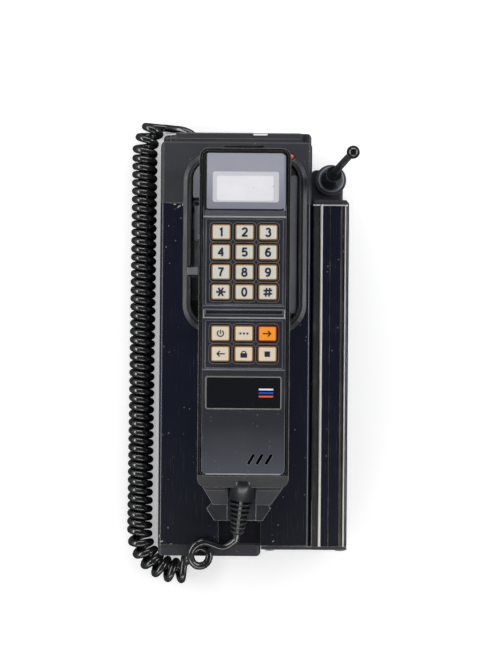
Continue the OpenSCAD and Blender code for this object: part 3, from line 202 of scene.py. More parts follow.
@dataclass(frozen=True)
class Finish:
    """One surface finish, with its dust, its rounded edges, and pale edges that are partly rubbing and partly
    painted highlights.

    The edge radius is shaded with a Bevel node, so a CAD node's sharp edges catch the light as
    moulded or broken edges do. Sizes are in metres. Real mould texture and brushed lines are 0.1 to
    0.3 mm wide, too fine to show at 1.5 pixels a millimetre, so they are drawn at 0.5 mm or more. Dust
    specks are drawn at up to about 1 mm for the same reason.
    """

    name: str
    colour: str
    roughness: float
    grain: Grain = Grain.MOULDED
    grain_size: float = 0.5 * MM
    relief: float = 0.04 * MM
    mottle: float = 0.25
    dust: float = 0.25
    dust_colour: str = "8d8a84"
    speck_pitch: float = 3.2 * MM
    scratches: float = 0.0
    wear_and_glint: float = 0.5
    wear_and_glint_colour: str = "77777a"
    steady: float = 0.15
    edge: float = 0.5 * MM
    metallic: float = 0.0
    coat: float = 0.0
    ior: float = 1.5
    light_fade: tuple[float, float, str] | None = None

    def make(self) -> bpy.types.Material:
        """Builds the material's nodes and returns the material."""
        material, tree, shader = blank_material(self.name)
        where = add(tree, "ShaderNodeTexCoord").outputs["Object"]
        stretch = BRUSHED_STRETCH if self.grain is Grain.BRUSHED else (1.0, 1.0, 1.0)
        placed = add(tree, "ShaderNodeMapping", {"Vector": where, "Scale": stretch}).outputs[0]
        fine = add(tree, "ShaderNodeTexNoise", {"Vector": placed, "Scale": 1 / self.grain_size, "Detail": 2.0})
        broad = add(tree, "ShaderNodeTexNoise", {"Vector": where, "Scale": BROAD_SCALE, "Detail": 6.0,
                                                 "Roughness": 0.6})
        specks = add(tree, "ShaderNodeTexVoronoi", {"Vector": where, "Scale": 1 / self.speck_pitch})
        chance = add(tree, "ShaderNodeSeparateColor", {0: specks.outputs["Color"]})
        # Pale rounded edges: partly rubbed by the hand and the table, partly painted highlights where the edges
        # catch the lamps
        rounded = add(tree, "ShaderNodeBevel", {"Radius": self.edge}, samples=4)
        flat = add(tree, "ShaderNodeNewGeometry").outputs["Normal"]
        turn = add(tree, "ShaderNodeVectorMath", {0: rounded.outputs[0], 1: flat}, operation="DOT_PRODUCT")
        rubbed_and_lit_edge = band(tree, turn.outputs["Value"], *PALE_EDGE_TURN)
        patchy = band(tree, broad.outputs["Fac"], *PATCHES)
        spread = add(tree, "ShaderNodeMapRange", {"Value": patchy, "To Min": self.steady}).outputs["Result"]
        worn_and_glinting = times(tree, times(tree, rubbed_and_lit_edge, spread), self.wear_and_glint)
        base = linear(self.colour)
        lifted = tuple(min(1.0, c * (1 + self.mottle) + 0.004 * self.mottle) for c in base[:3]) + (1.0,)
        colour = blend_colour(tree, broad.outputs["Fac"], base, lifted)
        # A painted gradient of light: the colour turns to another along y, lighter or darker as the lamps fall
        if self.light_fade:
            start, end, faded = self.light_fade
            along = add(tree, "ShaderNodeSeparateXYZ", {0: where}).outputs[1]
            colour = blend_colour(tree, band(tree, along, start, end), colour, linear(faded))
        if self.scratches:
            drawn = add(tree, "ShaderNodeMapping", {"Vector": where, "Scale": SCRATCH_STRETCH}).outputs[0]
            lines = add(tree, "ShaderNodeTexNoise", {"Vector": drawn, "Scale": SCRATCH_SCALE, "Detail": 2.0})
            faint = times(tree, band(tree, lines.outputs["Fac"], *SCRATCH_LEVELS), self.scratches)
            colour = blend_colour(tree, times(tree, faint, patchy), colour, linear(self.dust_colour))
        # A speck lies in some of the cells, and each has its own size
        size = add(tree, "ShaderNodeMapRange", {"Value": chance.outputs[0], "From Min": SPECK_FREE, "From Max": 1.0,
                                                "To Min": 0.0, "To Max": SPECK_RADIUS})
        near = add(tree, "ShaderNodeMath", {0: size.outputs[0], 1: specks.outputs["Distance"]},
                   operation="SUBTRACT")
        dusty = times(tree, band(tree, near.outputs[0], 0.0, SPECK_SOFTNESS), self.dust)
        colour = blend_colour(tree, dusty, colour, linear(self.dust_colour))
        colour = blend_colour(tree, worn_and_glinting, colour, linear(self.wear_and_glint_colour))
        tree.links.new(colour, shader.inputs["Base Color"])
        rough = add(tree, "ShaderNodeMapRange", {
            "Value": broad.outputs["Fac"], "From Min": 0.3, "From Max": 0.7,
            "To Min": max(LEAST_ROUGHNESS, self.roughness - SMUDGE_SHINE),
            "To Max": self.roughness + SMUDGE_DULL})
        tree.links.new(rough.outputs["Result"], shader.inputs["Roughness"])
        if self.grain is not Grain.SMOOTH:
            bump = add(tree, "ShaderNodeBump", {
                "Height": fine.outputs["Fac"], "Distance": self.relief, "Strength": 1.0,
                "Normal": rounded.outputs[0]})
            tree.links.new(bump.outputs[0], shader.inputs["Normal"])
        else:
            tree.links.new(rounded.outputs[0], shader.inputs["Normal"])
        shader.inputs["Metallic"].default_value = self.metallic
        shader.inputs["Coat Weight"].default_value = self.coat
        shader.inputs["Coat Roughness"].default_value = COAT_ROUGHNESS
        shader.inputs["IOR"].default_value = self.ior
        return material


# Bent aluminium extrusion under a glossy blue-black baked enamel: mirror-like, finely scratched
# along its length, nicked down to the pale primer at its edges. Its colour is painted lighter
# towards the foot, as painted light from a lamp below.
CASE_ENAMEL = Finish("case_enamel", "111525", 0.10, Grain.BRUSHED, 0.6 * MM, 0.003 * MM, mottle=0.6, dust=0.45,
                     dust_colour="9a9896", speck_pitch=3.4 * MM, scratches=0.16, wear_and_glint=0.85, wear_and_glint_colour="b9b4a8",
                     steady=0.3, edge=0.6 * MM, light_fade=(-40 * MM, -120 * MM, "1e2129"))
# Glass-filled ABS from a spark-eroded mould: charcoal, even, dry to the touch.
CAP_ABS = Finish("cap_abs", "33343a", 0.5, grain_size=0.75 * MM, relief=0.15 * MM, dust=0.35, wear_and_glint=0.75,
                 wear_and_glint_colour="8a8a90", steady=0.35)
# The same ABS on the cradle, handled more and slightly polished; its thin pale edge lines are painted highlights.
CRADLE_ABS = Finish("cradle_abs", "1b1c21", 0.36, grain_size=0.7 * MM, relief=0.06 * MM, dust=0.4, wear_and_glint=0.8,
                    wear_and_glint_colour="8f8f95", steady=0.4, edge=0.3 * MM)
# The cradle's rest under the handset's foot, its pale edge lines painted highlights.
REST_ABS = Finish("rest_abs", "33343a", 0.38, grain_size=0.7 * MM, relief=0.1 * MM, dust=0.5, wear_and_glint=0.95,
                  wear_and_glint_colour="c8c8cc", steady=0.6, edge=0.8 * MM)
# A paler grey for the cradle's ledge beside the handset, also laid inside the cradle's left side as painted light
# that lifts the shadow there.
PALE_LEDGE_AND_PAINTED_LIGHT = Finish("pale_ledge_and_painted_light", "5b5c63", 0.42, grain_size=0.8 * MM, relief=0.2 * MM, dust=0.5, mottle=0.8, wear_and_glint=0.3)
# The lever under the thumb, a pale satin: partly rubbed, partly painted light that lifts the shade of the channel it
# lies in, with painted highlights on its edges.
LEVER_PALE_AND_LIFTED = Finish("lever_pale_and_painted_light", "707178", 0.4, grain_size=0.8 * MM, relief=0.2 * MM, mottle=0.9, dust=0.5,
                   wear_and_glint=0.9, wear_and_glint_colour="b4b4ba", steady=0.5)
# Handset shells in charcoal ABS, rubbed satin by the hand. Their pale edges are painted highlights, and the face is
# painted lighter towards the mouthpiece, as light falling from below.
HANDSET_ABS = Finish("handset_abs", "26282f", 0.4, grain_size=0.75 * MM, relief=0.12 * MM, dust=0.35,
                     speck_pitch=2.6 * MM, wear_and_glint=0.75, wear_and_glint_colour="a6a7ae", steady=0.55, edge=0.7 * MM,
                     light_fade=(-50 * MM, -84 * MM, "50535b"))
# The rear shell keeps an even charcoal, with no painted lightening towards its foot; its pale rim edges are partly
# rubbed and partly painted highlights.
HANDSET_REAR = Finish("handset_rear_abs", "141519", 0.4, grain_size=0.6 * MM, dust=0.3, speck_pitch=2.6 * MM,
                      wear_and_glint=0.95, wear_and_glint_colour="c4c1bb", steady=0.8, edge=0.5 * MM)
# The plain strip under the display: the same ABS, less polished, so it stays even and grey.
STRIP_ABS = Finish("strip_abs", "48484e", 0.45, grain_size=0.6 * MM, dust=0.2, wear_and_glint=0.2)
# Moulded beads of the handset's face, and the bars at the ends of its dark strip, painted bright as highlights.
BEAD_HIGHLIGHT = Finish("bead_painted_highlight", "8d8d92", 0.35, grain_size=0.6 * MM, dust=0.2, wear_and_glint=0.6, wear_and_glint_colour="c8c8c8")
# Soft grey surround of each key, also on the thin beads of the face and the rim's upper edge: the shell's ABS,
# painted paler as a highlight.
PALE_RIDGE_HIGHLIGHT = Finish("pale_ridge_painted_highlight", "6a6c74", 0.45, grain_size=0.6 * MM, dust=0.2, wear_and_glint=0.5, wear_and_glint_colour="90909a")
# Painted shade in the gap round each key: almost black, with hardly a gleam.
KEY_GAP_SHADE = Finish("key_gap_shade", "0b0a07", 0.6, Grain.SMOOTH, dust=0.1, wear_and_glint=0.0)
# The same painted shade in the gap round the orange key, dark red where its red base colour shows.
RED_GAP_SHADE = Finish("key_gap_shade_red", "2c0404", 0.5, Grain.SMOOTH, dust=0.0, wear_and_glint=0.0)
# Black rubber of the display's seal. The same black is painted shade in the groove round the seal, painted shadow in
# the slot and painted shade between the boot's ribs.
BLACK_SEAL_AND_SHADE = Finish("black_seal_and_painted_shade", "060607", 0.4, Grain.SMOOTH, dust=0.1, wear_and_glint=0.1)
# Glossy black PVC of a curly cord, greying a little where the curls rub.
CORD_PVC = Finish("cord_pvc", "101113", 0.2, grain_size=1.2 * MM, relief=0.012 * MM, dust=0.25,
                  dust_colour="6d6d6f", speck_pitch=4 * MM, wear_and_glint=0.0, coat=0.8, ior=1.6)
# Moulded neoprene of the boot and the feet, satin, pale at its edges: partly rubbed, partly painted highlights on
# the ribs' tips.
NEOPRENE = Finish("neoprene", "17191e", 0.3, grain_size=0.8 * MM, dust=0.3, wear_and_glint=0.7, wear_and_glint_colour="9a9a98",
                  steady=0.3, coat=0.3)
# The antenna's vulcanised rubber, polished by the mould: black with hard gleams.
ANTENNA_NEOPRENE = Finish("antenna_neoprene", "0a0b0e", 0.16, grain_size=0.9 * MM, relief=0.015 * MM, dust=0.25,
                          wear_and_glint=0.7, wear_and_glint_colour="8a8b92", steady=0.4, coat=0.6)
# Turned brass nut under black enamel, its edge painted pale bluish as a highlight all round.
NUT_ENAMEL = Finish("nut_enamel", "14161c", 0.15, Grain.SMOOTH, dust=0.2, wear_and_glint=1.0, wear_and_glint_colour="aab4c8",
                    steady=0.7, edge=0.7 * MM, coat=0.4)
# Plain black ABS of inner mouldings, seen only through openings.
INNER_ABS = Finish("inner_abs", "1b1c1f", 0.5, dust=0.1, wear_and_glint=0.1)
# Zinc-plated steel of screws and cans, dulled by age.
PLATED_STEEL = Finish("plated_steel", "a0a3a8", 0.38, Grain.SMOOTH, mottle=0.1, dust=0.1, wear_and_glint=0.0,
                      metallic=1.0)
# Nickel-plated brass of the antenna's jack, a dull grey metal.
NICKEL = Finish("dull_nickel", "77797e", 0.4, Grain.SMOOTH, mottle=0.1, dust=0.15, wear_and_glint=0.4,
                wear_and_glint_colour="b0b0b0", metallic=1.0)
# Bare brass contact pins, bright yellow.
BRASS = Finish("pin_brass", "c9a94b", 0.25, Grain.SMOOTH, mottle=0.1, dust=0.0, wear_and_glint=0.0, metallic=1.0)
# Black anodised plate at the battery's foot, bright where its edges have scraped.
FOOT_PLATE = Finish("foot_plate_aluminium", "3a3b40", 0.4, Grain.BRUSHED, 0.5 * MM, 0.01 * MM, dust=0.1,
                    wear_and_glint=1.0, wear_and_glint_colour="d8d8d6", edge=0.8 * MM)
# Clear amber acrylic of the lamp, unlit: saturated orange with a small gleam.
LAMP = Finish("lamp_amber", "e1701e", 0.2, Grain.SMOOTH, mottle=0.1, dust=0.0, wear_and_glint=0.0)
# Glass-epoxy board under green solder mask.
LAMINATE = Finish("green_laminate", "2c5a34", 0.35, Grain.SMOOTH, dust=0.0, wear_and_glint=0.0)
# Silicone rubber of the keypad's mat, even and matte.
MAT_RUBBER = Finish("mat_rubber", "55565a", 0.6, dust=0.0, wear_and_glint=0.0)
# Shrunk green film round the nickel-cadmium cells, slightly glossy.
CELL_WRAP = Finish("cell_wrap", "3f6f4f", 0.3, Grain.SMOOTH, dust=0.0, wear_and_glint=0.0)
# ABS key tops, doubly moulded: warm grey number keys, creamier function keys.
KEY_GREY = Finish("key_grey", "d2d0c6", 0.45, grain_size=0.5 * MM, relief=0.01 * MM, mottle=0.05, dust=0.12,
                  dust_colour="8c8877", wear_and_glint=0.0, edge=0.3 * MM)
KEY_CREAM = Finish("key_cream", "e0d2bc", 0.45, grain_size=0.5 * MM, relief=0.01 * MM, mottle=0.05,
                   dust=0.12, dust_colour="8c8066", wear_and_glint=0.0, edge=0.3 * MM)
KEY_ORANGE = Finish("key_orange", "ff9a22", 0.4, grain_size=0.5 * MM, relief=0.01 * MM, mottle=0.05,
                    dust=0.05, dust_colour="a05010", wear_and_glint=0.0, edge=0.3 * MM)
# The yellowed flanks of the keys, which frame each top in amber.
KEY_FLANK = Finish("key_flank", "86602a", 0.5, Grain.SMOOTH, dust=0.0, wear_and_glint=0.0)
# The orange key's dark red flanks.
FLANK_RED = Finish("key_flank_red", "6c1010", 0.5, Grain.SMOOTH, dust=0.0, wear_and_glint=0.0)
# Blue-black legends moulded into the keys.
LEGEND_INK = Finish("legend_ink", "1b1d2e", 0.5, Grain.SMOOTH, dust=0.0, wear_and_glint=0.0)
# Acrylic display window with a printed silver-grey border, and the pale unlit display behind it.
# The lens's bevelled right edge, painted pale bluish as a reflection.
LENS_BEVEL_REFLECTION = Finish("lens_bevel_reflection", "8790a8", 0.15, Grain.SMOOTH, mottle=0.1, dust=0.1, wear_and_glint=0.0, coat=0.6)
# The border is painted darker towards its foot, a gradient of painted reflection.
LENS_BORDER = Finish("lens_border", "989aa6", 0.1, Grain.SMOOTH, mottle=0.25, dust=0.5, dust_colour="5a5a64",
                     wear_and_glint=0.0, coat=0.6, light_fade=(108 * MM, 86 * MM, "8a8a98"))
# The paler printed frame inside the border.
LENS_FRAME = Finish("lens_frame", "d2d2da", 0.12, Grain.SMOOTH, mottle=0.04, dust=0.05, wear_and_glint=0.0, coat=0.6)
# The unlit display, nearly white, with faint smudges.
LENS_PANE = Finish("lens_pane", "e2e1e7", 0.12, Grain.SMOOTH, mottle=0.28, dust=0.6, dust_colour="9a99a0",
                   speck_pitch=4 * MM, wear_and_glint=0.0, coat=0.6)
# Black screen-printed acrylic of the plate, with a rubbed beige rim and plain coloured bars.
PLATE_BLACK = Finish("plate_black", "101216", 0.18, Grain.SMOOTH, mottle=0.1, dust=0.06, wear_and_glint=0.0)
PLATE_EDGE = Finish("plate_edge", "8c877e", 0.4, Grain.SMOOTH, mottle=0.3, dust=0.1, wear_and_glint=0.0)
BAR_ORANGE = Finish("bar_orange", "fe5a27", 0.35, Grain.SMOOTH, mottle=0.0, dust=0.03, wear_and_glint=0.0)
BAR_BLUE = Finish("bar_blue", "0055d7", 0.35, Grain.SMOOTH, mottle=0.0, dust=0.03, wear_and_glint=0.0)
BAR_WHITE = Finish("bar_white", "f0f0f0", 0.35, Grain.SMOOTH, mottle=0.0, dust=0.03, wear_and_glint=0.0)
# The enamelled floor of the channel that the boot lies over, painted darker than the case as shade under the boot,
# with beige dust.
CHANNEL_SHADE_AND_DUST = Finish("channel_shade_and_dust", "0c0d14", 0.3, dust=0.5, dust_colour="6a665e", speck_pitch=2 * MM, wear_and_glint=0.0)
# A painted highlight on the antenna nut's turned edge: a pale bluish line.
NUT_HIGHLIGHT = Finish("nut_painted_highlight", "a3abba", 0.3, Grain.SMOOTH, mottle=0.4, dust=0.0, wear_and_glint=0.0)
# Beige dust along the seam between the case's upper cap and its rim.
SEAM_DUST = Finish("seam_dust", "5e5850", 0.7, dust=0.4, mottle=0.8, wear_and_glint=0.0)
# The line of old glue in the groove along the battery, brown and dull.
GLUE_LINE = Finish("glue_line", "4a3d33", 0.6, dust=0.3, wear_and_glint=0.0)
# Pale primer where the enamel has chipped: beige, dull, in small sharp spots.
PRIMER = Finish("bare_primer", "9b978c", 0.6, mottle=0.5, dust=0.3, dust_colour="4a4a4c", wear_and_glint=0.0)
# Dust packed beside the inner rib: beige grains that hide the enamel's gloss.
DUSTY_BAND = Finish("dusty_band", "1e1e20", 0.5, relief=0.15 * MM, dust=0.9, dust_colour="a39a8c",
                    speck_pitch=1.2 * MM, mottle=0.9, scratches=0.5, wear_and_glint=0.0)
# Bare, scraped aluminium on the crest of the battery's ribs.
SCRAPED = Finish("scraped_aluminium", "dcdbd7", 0.45, Grain.BRUSHED, 0.5 * MM, 0.01 * MM, mottle=0.1,
                 dust=0.35, dust_colour="5a5a5c", wear_and_glint=0.0)

NODE_FINISH: dict[Finish, tuple[str, ...]] = {
    CASE_ENAMEL: ("transceiver_case", "battery_sleeve"),
    CAP_ABS: ("top_cap", "bottom_cap", "antenna_block", "battery_top_cap"),
    CRADLE_ABS: ("cradle_cup",),
    REST_ABS: ("cradle_rest",),
    LEVER_PALE_AND_LIFTED: ("release_lever",),
    HANDSET_ABS: ("handset_front_shell",),
    HANDSET_REAR: ("handset_rear_shell",),
    INNER_ABS: ("handset_socket", "power_socket", "earpiece_speaker", "reed_switch", "cord_plug"),
    PLATED_STEEL: ("cradle_screws", "end_screws", "battery_screws", "shield_cans", "duplexer", "microphone",
                   "hook_magnet"),
    NICKEL: ("antenna_jack",),
    BRASS: ("battery_contacts",),
    NEOPRENE: ("rubber_feet", "cord_boot"),
    ANTENNA_NEOPRENE: ("antenna_base", "antenna_whip"),
    NUT_ENAMEL: ("antenna_nut",),
    LAMP: ("status_led",),
    LAMINATE: ("radio_board", "handset_board"),
    MAT_RUBBER: ("keypad_mat",),
    LENS_FRAME: ("lcd_module",),
    PLATE_BLACK: ("name_plate",),
    FOOT_PLATE: ("battery_foot_plate",),
    CELL_WRAP: ("battery_cells",),
}


@dataclass
class Palette:
    """Makes each finish's material once."""

    made: dict[Finish, bpy.types.Material] = field(default_factory=dict)

    def __getitem__(self, finish: Finish) -> bpy.types.Material:
        """Returns the finish's material, made on its first use."""
        if finish not in self.made:
            self.made[finish] = finish.make()
        return self.made[finish]


PALETTE = Palette()


# ---- Mesh helpers ----

def finish_piece(name: str, mesh: bmesh.types.BMesh, finishes: Iterable[Finish], body: str,
                 replaced: tuple[str, ...] = (), smooth: bool = True) -> bpy.types.Object:
    """Turns a bmesh into a dressed piece that rides on a body.

    Args:
        name: The piece's name.
        mesh: Its bmesh, which is freed.
        finishes: The finishes of its material slots, in order.
        body: The CAD body it rides on.
        replaced: The CAD nodes that it stands for.
        smooth: True to shade its faces smooth.

    Returns:
        The piece's object.
    """
    for face in mesh.faces:
        face.smooth = smooth
    data = bpy.data.meshes.new(name)
    mesh.to_mesh(data)
    mesh.free()
    for finish in finishes:
        data.materials.append(PALETTE[finish])
    piece = bpy.data.objects.new(name, data)
    bpy.context.scene.collection.objects.link(piece)
    if smooth:
        data.set_sharp_from_angle(angle=math.radians(40))
    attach(piece, body)
    if replaced:
        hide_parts(*replaced)
    LOG.info("%s: %d faces", name, len(data.polygons))
    return piece


def box_mesh(low: Vector, high: Vector, upright: float = 0.0, rim: float = 0.0) -> bmesh.types.BMesh:
    """Makes a block with rounded upright edges and a rounded upper rim.

    Args:
        low: Its lowest corner.
        high: Its highest corner.
        upright: Radius of its upright edges.
        rim: Radius of its upper rim.

    Returns:
        The bmesh.
    """
    mesh = bmesh.new()
    bmesh.ops.create_cube(mesh, size=1.0)
    size = high - low
    middle = (high + low) / 2
    bmesh.ops.scale(mesh, vec=size, verts=mesh.verts)
    bmesh.ops.translate(mesh, vec=middle, verts=mesh.verts)
    if upright:
        tall = [e for e in mesh.edges if abs(e.verts[0].co.z - e.verts[1].co.z) > size.z / 2]
        bmesh.ops.bevel(mesh, geom=tall, offset=upright, segments=5, profile=0.5, affect="EDGES", material=-1)
    if rim:
        upper = [e for e in mesh.edges if all(v.co.z > high.z - LEVEL for v in e.verts)]
        bmesh.ops.bevel(mesh, geom=upper, offset=rim, segments=3, profile=0.5, affect="EDGES", material=-1)
    return mesh


def ring_mesh(low: Vector, high: Vector, corner: float, width: float, edge: float = 0.0) -> bmesh.types.BMesh:
    """Makes a raised frame with rounded corners.

    Args:
        low: Its lowest corner.
        high: Its highest corner.
        corner: Radius of its outer corners.
        width: Width of its four sides.
        edge: Radius of its upper edges.

    Returns:
        The bmesh.
    """
    mesh = bmesh.new()
    bmesh.ops.create_grid(mesh, x_segments=1, y_segments=1, size=0.5)
    bmesh.ops.scale(mesh, vec=high - low, verts=mesh.verts)
    bmesh.ops.translate(mesh, vec=((low.x + high.x) / 2, (low.y + high.y) / 2, low.z), verts=mesh.verts)
    bmesh.ops.bevel(mesh, geom=mesh.verts[:], offset=corner, segments=5, profile=0.5, affect="VERTICES",
                    material=-1)
    middle = mesh.faces[:]
    bmesh.ops.inset_region(mesh, faces=middle, thickness=width, use_boundary=True, use_even_offset=True)
    bmesh.ops.delete(mesh, geom=middle, context="FACES")
    raised = bmesh.ops.extrude_face_region(mesh, geom=mesh.faces[:], use_keep_orig=True)["geom"]
    top = [v for v in raised if isinstance(v, bmesh.types.BMVert)]
    bmesh.ops.translate(mesh, vec=(0, 0, high.z - low.z), verts=top)
    bmesh.ops.recalc_face_normals(mesh, faces=mesh.faces[:])
    if edge:
        rims = [e for e in mesh.edges if all(v.co.z > high.z - LEVEL for v in e.verts)
                and len(e.link_faces) == 2 and abs(e.calc_face_angle()) > 1]
        bmesh.ops.bevel(mesh, geom=rims, offset=edge, segments=2, profile=0.5, affect="EDGES", material=-1)
    return mesh


def bead_mesh(start: Vector, end: Vector, width: float, height: float) -> bmesh.types.BMesh:
    """Makes a straight bead of half-round section that stands on a face, with rounded ends.

    Args:
        start: The middle of its foot at one end.
        end: The middle of its foot at the other end.
        width: Its width.
        height: Its height.

    Returns:
        The bmesh.
    """
    length = (end - start).length
    mesh = bmesh.new()
    bmesh.ops.create_uvsphere(mesh, u_segments=24, v_segments=12, radius=0.5)
    lower = [v for v in mesh.verts if v.co.z < -0.01]
    bmesh.ops.delete(mesh, geom=lower, context="VERTS")
    bmesh.ops.holes_fill(mesh, edges=[e for e in mesh.edges if e.is_boundary], sides=0)
    bmesh.ops.scale(mesh, vec=(width, width, height * 2), verts=mesh.verts)
    # Half a segment's turn, so that no vertex lies on the line where the halves part
    turned(mesh, math.radians(7.5))
    ahead = [v for v in mesh.verts if v.co.x > 0]
    bmesh.ops.translate(mesh, vec=(length - width, 0, 0), verts=ahead)
    bmesh.ops.translate(mesh, vec=(width / 2, 0, 0), verts=mesh.verts)
    turned(mesh, (end - start).to_2d().angle_signed(Vector((1, 0))))
    bmesh.ops.translate(mesh, vec=start, verts=mesh.verts)
    return mesh


def join_mesh(target: bmesh.types.BMesh, other: bmesh.types.BMesh) -> None:
    """Adds another bmesh's faces to the target, and frees the other."""
    data = bpy.data.meshes.new("part")
    other.to_mesh(data)
    other.free()
    target.from_mesh(data)
    bpy.data.meshes.remove(data)


def corners(node: str) -> tuple[Vector, Vector]:
    """Returns a CAD node's lowest and highest corner."""
    low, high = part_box(node)
    return Vector(low), Vector(high)


def turned(mesh: bmesh.types.BMesh, angle: float, axis: str = "Z") -> None:
    """Turns a whole bmesh about an axis through the origin, by an angle in radians."""
    bmesh.ops.rotate(mesh, cent=(0, 0, 0), matrix=Matrix.Rotation(angle, 3, axis), verts=mesh.verts)


def spin_round(mesh: bmesh.types.BMesh, steps: int) -> None:
    """Spins everything in a bmesh a full turn about the upright axis, and closes it."""
    bmesh.ops.spin(mesh, geom=mesh.verts[:] + mesh.edges[:], axis=(0, 0, 1), cent=(0, 0, 0), steps=steps,
                   angle=math.tau, use_merge=True)
    bmesh.ops.remove_doubles(mesh, verts=mesh.verts, dist=MERGE)
    bmesh.ops.recalc_face_normals(mesh, faces=mesh.faces[:])


def spun_mesh(line: list[tuple[float, float]], steps: int) -> bmesh.types.BMesh:
    """Spins an outline into a body of revolution.

    Args:
        line: The radius and height of each of its points, from one end of the axis to the other.
        steps: Steps in the full turn.

    Returns:
        The bmesh.
    """
    mesh = bmesh.new()
    verts = [mesh.verts.new((r, 0, z)) for r, z in line]
    for pair in zip(verts, verts[1:]):
        mesh.edges.new(pair)
    spin_round(mesh, steps)
    return mesh


def stroke_mesh(middle: Vector, length: float, width: float, angle: float) -> bmesh.types.BMesh:
    """Makes a flat straight stroke.

    Args:
        middle: Its middle.
        length: Its length.
        width: Its width.
        angle: Its turn, in radians.

    Returns:
        The bmesh.
    """
    mesh = bmesh.new()
    bmesh.ops.create_grid(mesh, x_segments=1, y_segments=1, size=0.5)
    bmesh.ops.scale(mesh, vec=(length, width, 1), verts=mesh.verts)
    turned(mesh, angle)
    bmesh.ops.translate(mesh, vec=middle, verts=mesh.verts)
    return mesh


# ---- Cord ----

@dataclass
class CurlyCord:
    """The curly cord from the handset's boot to the plug in the unit's upper end."""

    thickness: float = 4.9 * MM
    curl_radius: float = 6.15 * MM
    axis_height: float = 8.75 * MM
    run_top: Vector = field(default_factory=lambda: Vector((-73.7, 128.0)) * MM)
    run_foot: Vector = field(default_factory=lambda: Vector((-75.3, -126.0)) * MM)
    top_radius: float = 24 * MM
    top_turn: float = math.radians(46)
    top_share: float = 0.3
    fan_radius: float = 26 * MM
    fan_turn: float = math.radians(98)
    top_curls: float = 2.5
    run_curls: float = 46
    fan_curls: float = 6
    points_per_curl: int = 24
    smooth_steps: int = 6
    boot_root: Vector = field(default_factory=lambda: Vector((-6.2, -88.0, 73.0)) * MM)
    boot_length: float = 34.5 * MM
    boot_turn: tuple[float, float] = (math.radians(-6), math.radians(20))
    length: float = 2.29

    # The routes from part.scad, in millimetres: plug to curls, and curls to boot
    tail_route = ((-39.5, 130, 12), (-39.5, 134.9, 12), (-40.3, 137.2, 11.9), (-42.9, 140.2, 11.3),
                  (-46.6, 142.1, 10), (-50.6, 143.2, 8.2), (-55, 143.9, 5.6))
    lead_route = ((-44.9, -142.7, 15.7), (-44, -140.4, 18.7), (-43, -140.3, 28), (-42.6, -140.7, 36),
                  (-42.6, -141.6, 43), (-42, -140, 49), (-39.6, -135, 51), (-34.4, -131.2, 51),
                  (-29.4, -132.6, 50.9), (-27.6, -137, 51.1), (-30, -141.6, 51.9), (-34.8, -142.6, 53.3),
                  (-38.6, -139.4, 55.2), (-39.2, -133.6, 57.2), (-36, -128.6, 58.4), (-31, -126.6, 58.2),
                  (-26, -127.8, 57.2), (-21, -129.6, 56.6), (-16, -129.4, 57))

    def boot_direction(self) -> Vector:
        """Returns the direction in which the boot points."""
        turn, dip = self.boot_turn
        return Vector((math.sin(turn) * math.cos(dip), -math.cos(turn) * math.cos(dip), -math.sin(dip)))

    def axis_at(self, turns: float) -> tuple[Vector, float]:
        """Finds the middle of the curls after some turns.

        Args:
            turns: Turns made since the coil's start at the plug's end.

        Returns:
            The point on the table's plane, and the heading that the curl there faces, in radians.
        """
        run = self.run_foot - self.run_top
        heading = math.atan2(run.y, run.x)
        if turns < self.top_curls:
            bent = self.top_turn * (1 - turns / self.top_curls)
            place = self.run_top + self.top_radius * (left_of(heading) - left_of(heading - bent))
            return place, heading - bent * self.top_share
        if turns < self.top_curls + self.run_curls:
            return self.run_top + run * (turns - self.top_curls) / self.run_curls, heading
        angle = heading + self.fan_turn * (turns - self.top_curls - self.run_curls) / self.fan_curls
        return self.run_foot + self.fan_radius * (left_of(heading) - left_of(angle)), angle

    def curl_point(self, turns: float) -> Vector:
        """Returns the cord's middle after some turns, rising from underneath on its left-hand side."""
        middle, heading = self.axis_at(turns)
        angle = turns * math.tau
        across = middle - left_of(heading) * self.curl_radius * math.sin(angle)
        return Vector((across.x, across.y, self.axis_height - self.curl_radius * math.cos(angle)))

    def line(self) -> list[Vector]:
        """Returns the whole cord's middle line, from the plug to the boot's tip."""
        total = self.top_curls + self.run_curls + self.fan_curls
        count = round(total * self.points_per_curl)
        coil = [self.curl_point(i * total / count) for i in range(count + 1)]
        first = (coil[0] - self.curl_point(1 / 8)).to_2d().normalized().to_3d()
        last = (coil[-1] - self.curl_point(total - 1 / 8)).to_2d().normalized().to_3d()
        start, end = coil[0] + first * self.thickness, coil[-1] + last * self.thickness
        tip = self.boot_root + self.boot_length * self.boot_direction()
        tail = [Vector(p) * MM for p in self.tail_route] + [start + first * 2 * MM, start]
        lead = [end, end + last * 1.5 * MM] + [Vector(p) * MM for p in self.lead_route]
        lead.append(tip + self.boot_direction() * self.thickness)
        return smooth_line(tail, self.smooth_steps) + coil + smooth_line(lead, self.smooth_steps) + [tip]

    def build(self) -> None:
        points = self.line()
        data = bpy.data.curves.new("curly_cord", "CURVE")
        data.dimensions = "3D"
        data.bevel_depth = self.thickness / 2
        data.bevel_resolution = 4
        data.use_fill_caps = True
        spline = data.splines.new("POLY")
        spline.points.add(len(points) - 1)
        for point, place in zip(spline.points, points):
            point.co = (*place, 1.0)
        spline.use_smooth = True
        holder = bpy.data.objects.new("curly_cord_line", data)
        bpy.context.scene.collection.objects.link(holder)
        bpy.context.view_layer.update()
        tube = bpy.data.meshes.new_from_object(holder)
        bpy.data.objects.remove(holder)
        tube.materials.clear()
        tube.materials.append(PALETTE[CORD_PVC])
        cord = bpy.data.objects.new("curly_cord", tube)
        bpy.context.scene.collection.objects.link(cord)
        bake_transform(cord)
        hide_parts("cord_tail", "cord_coil", "cord_lead")
        measured = sum((b - a).length for a, b in zip(points, points[1:]))
        tuple(points[-1])
        LOG.info("curly_cord: %.3f m along %d points", measured, len(points))


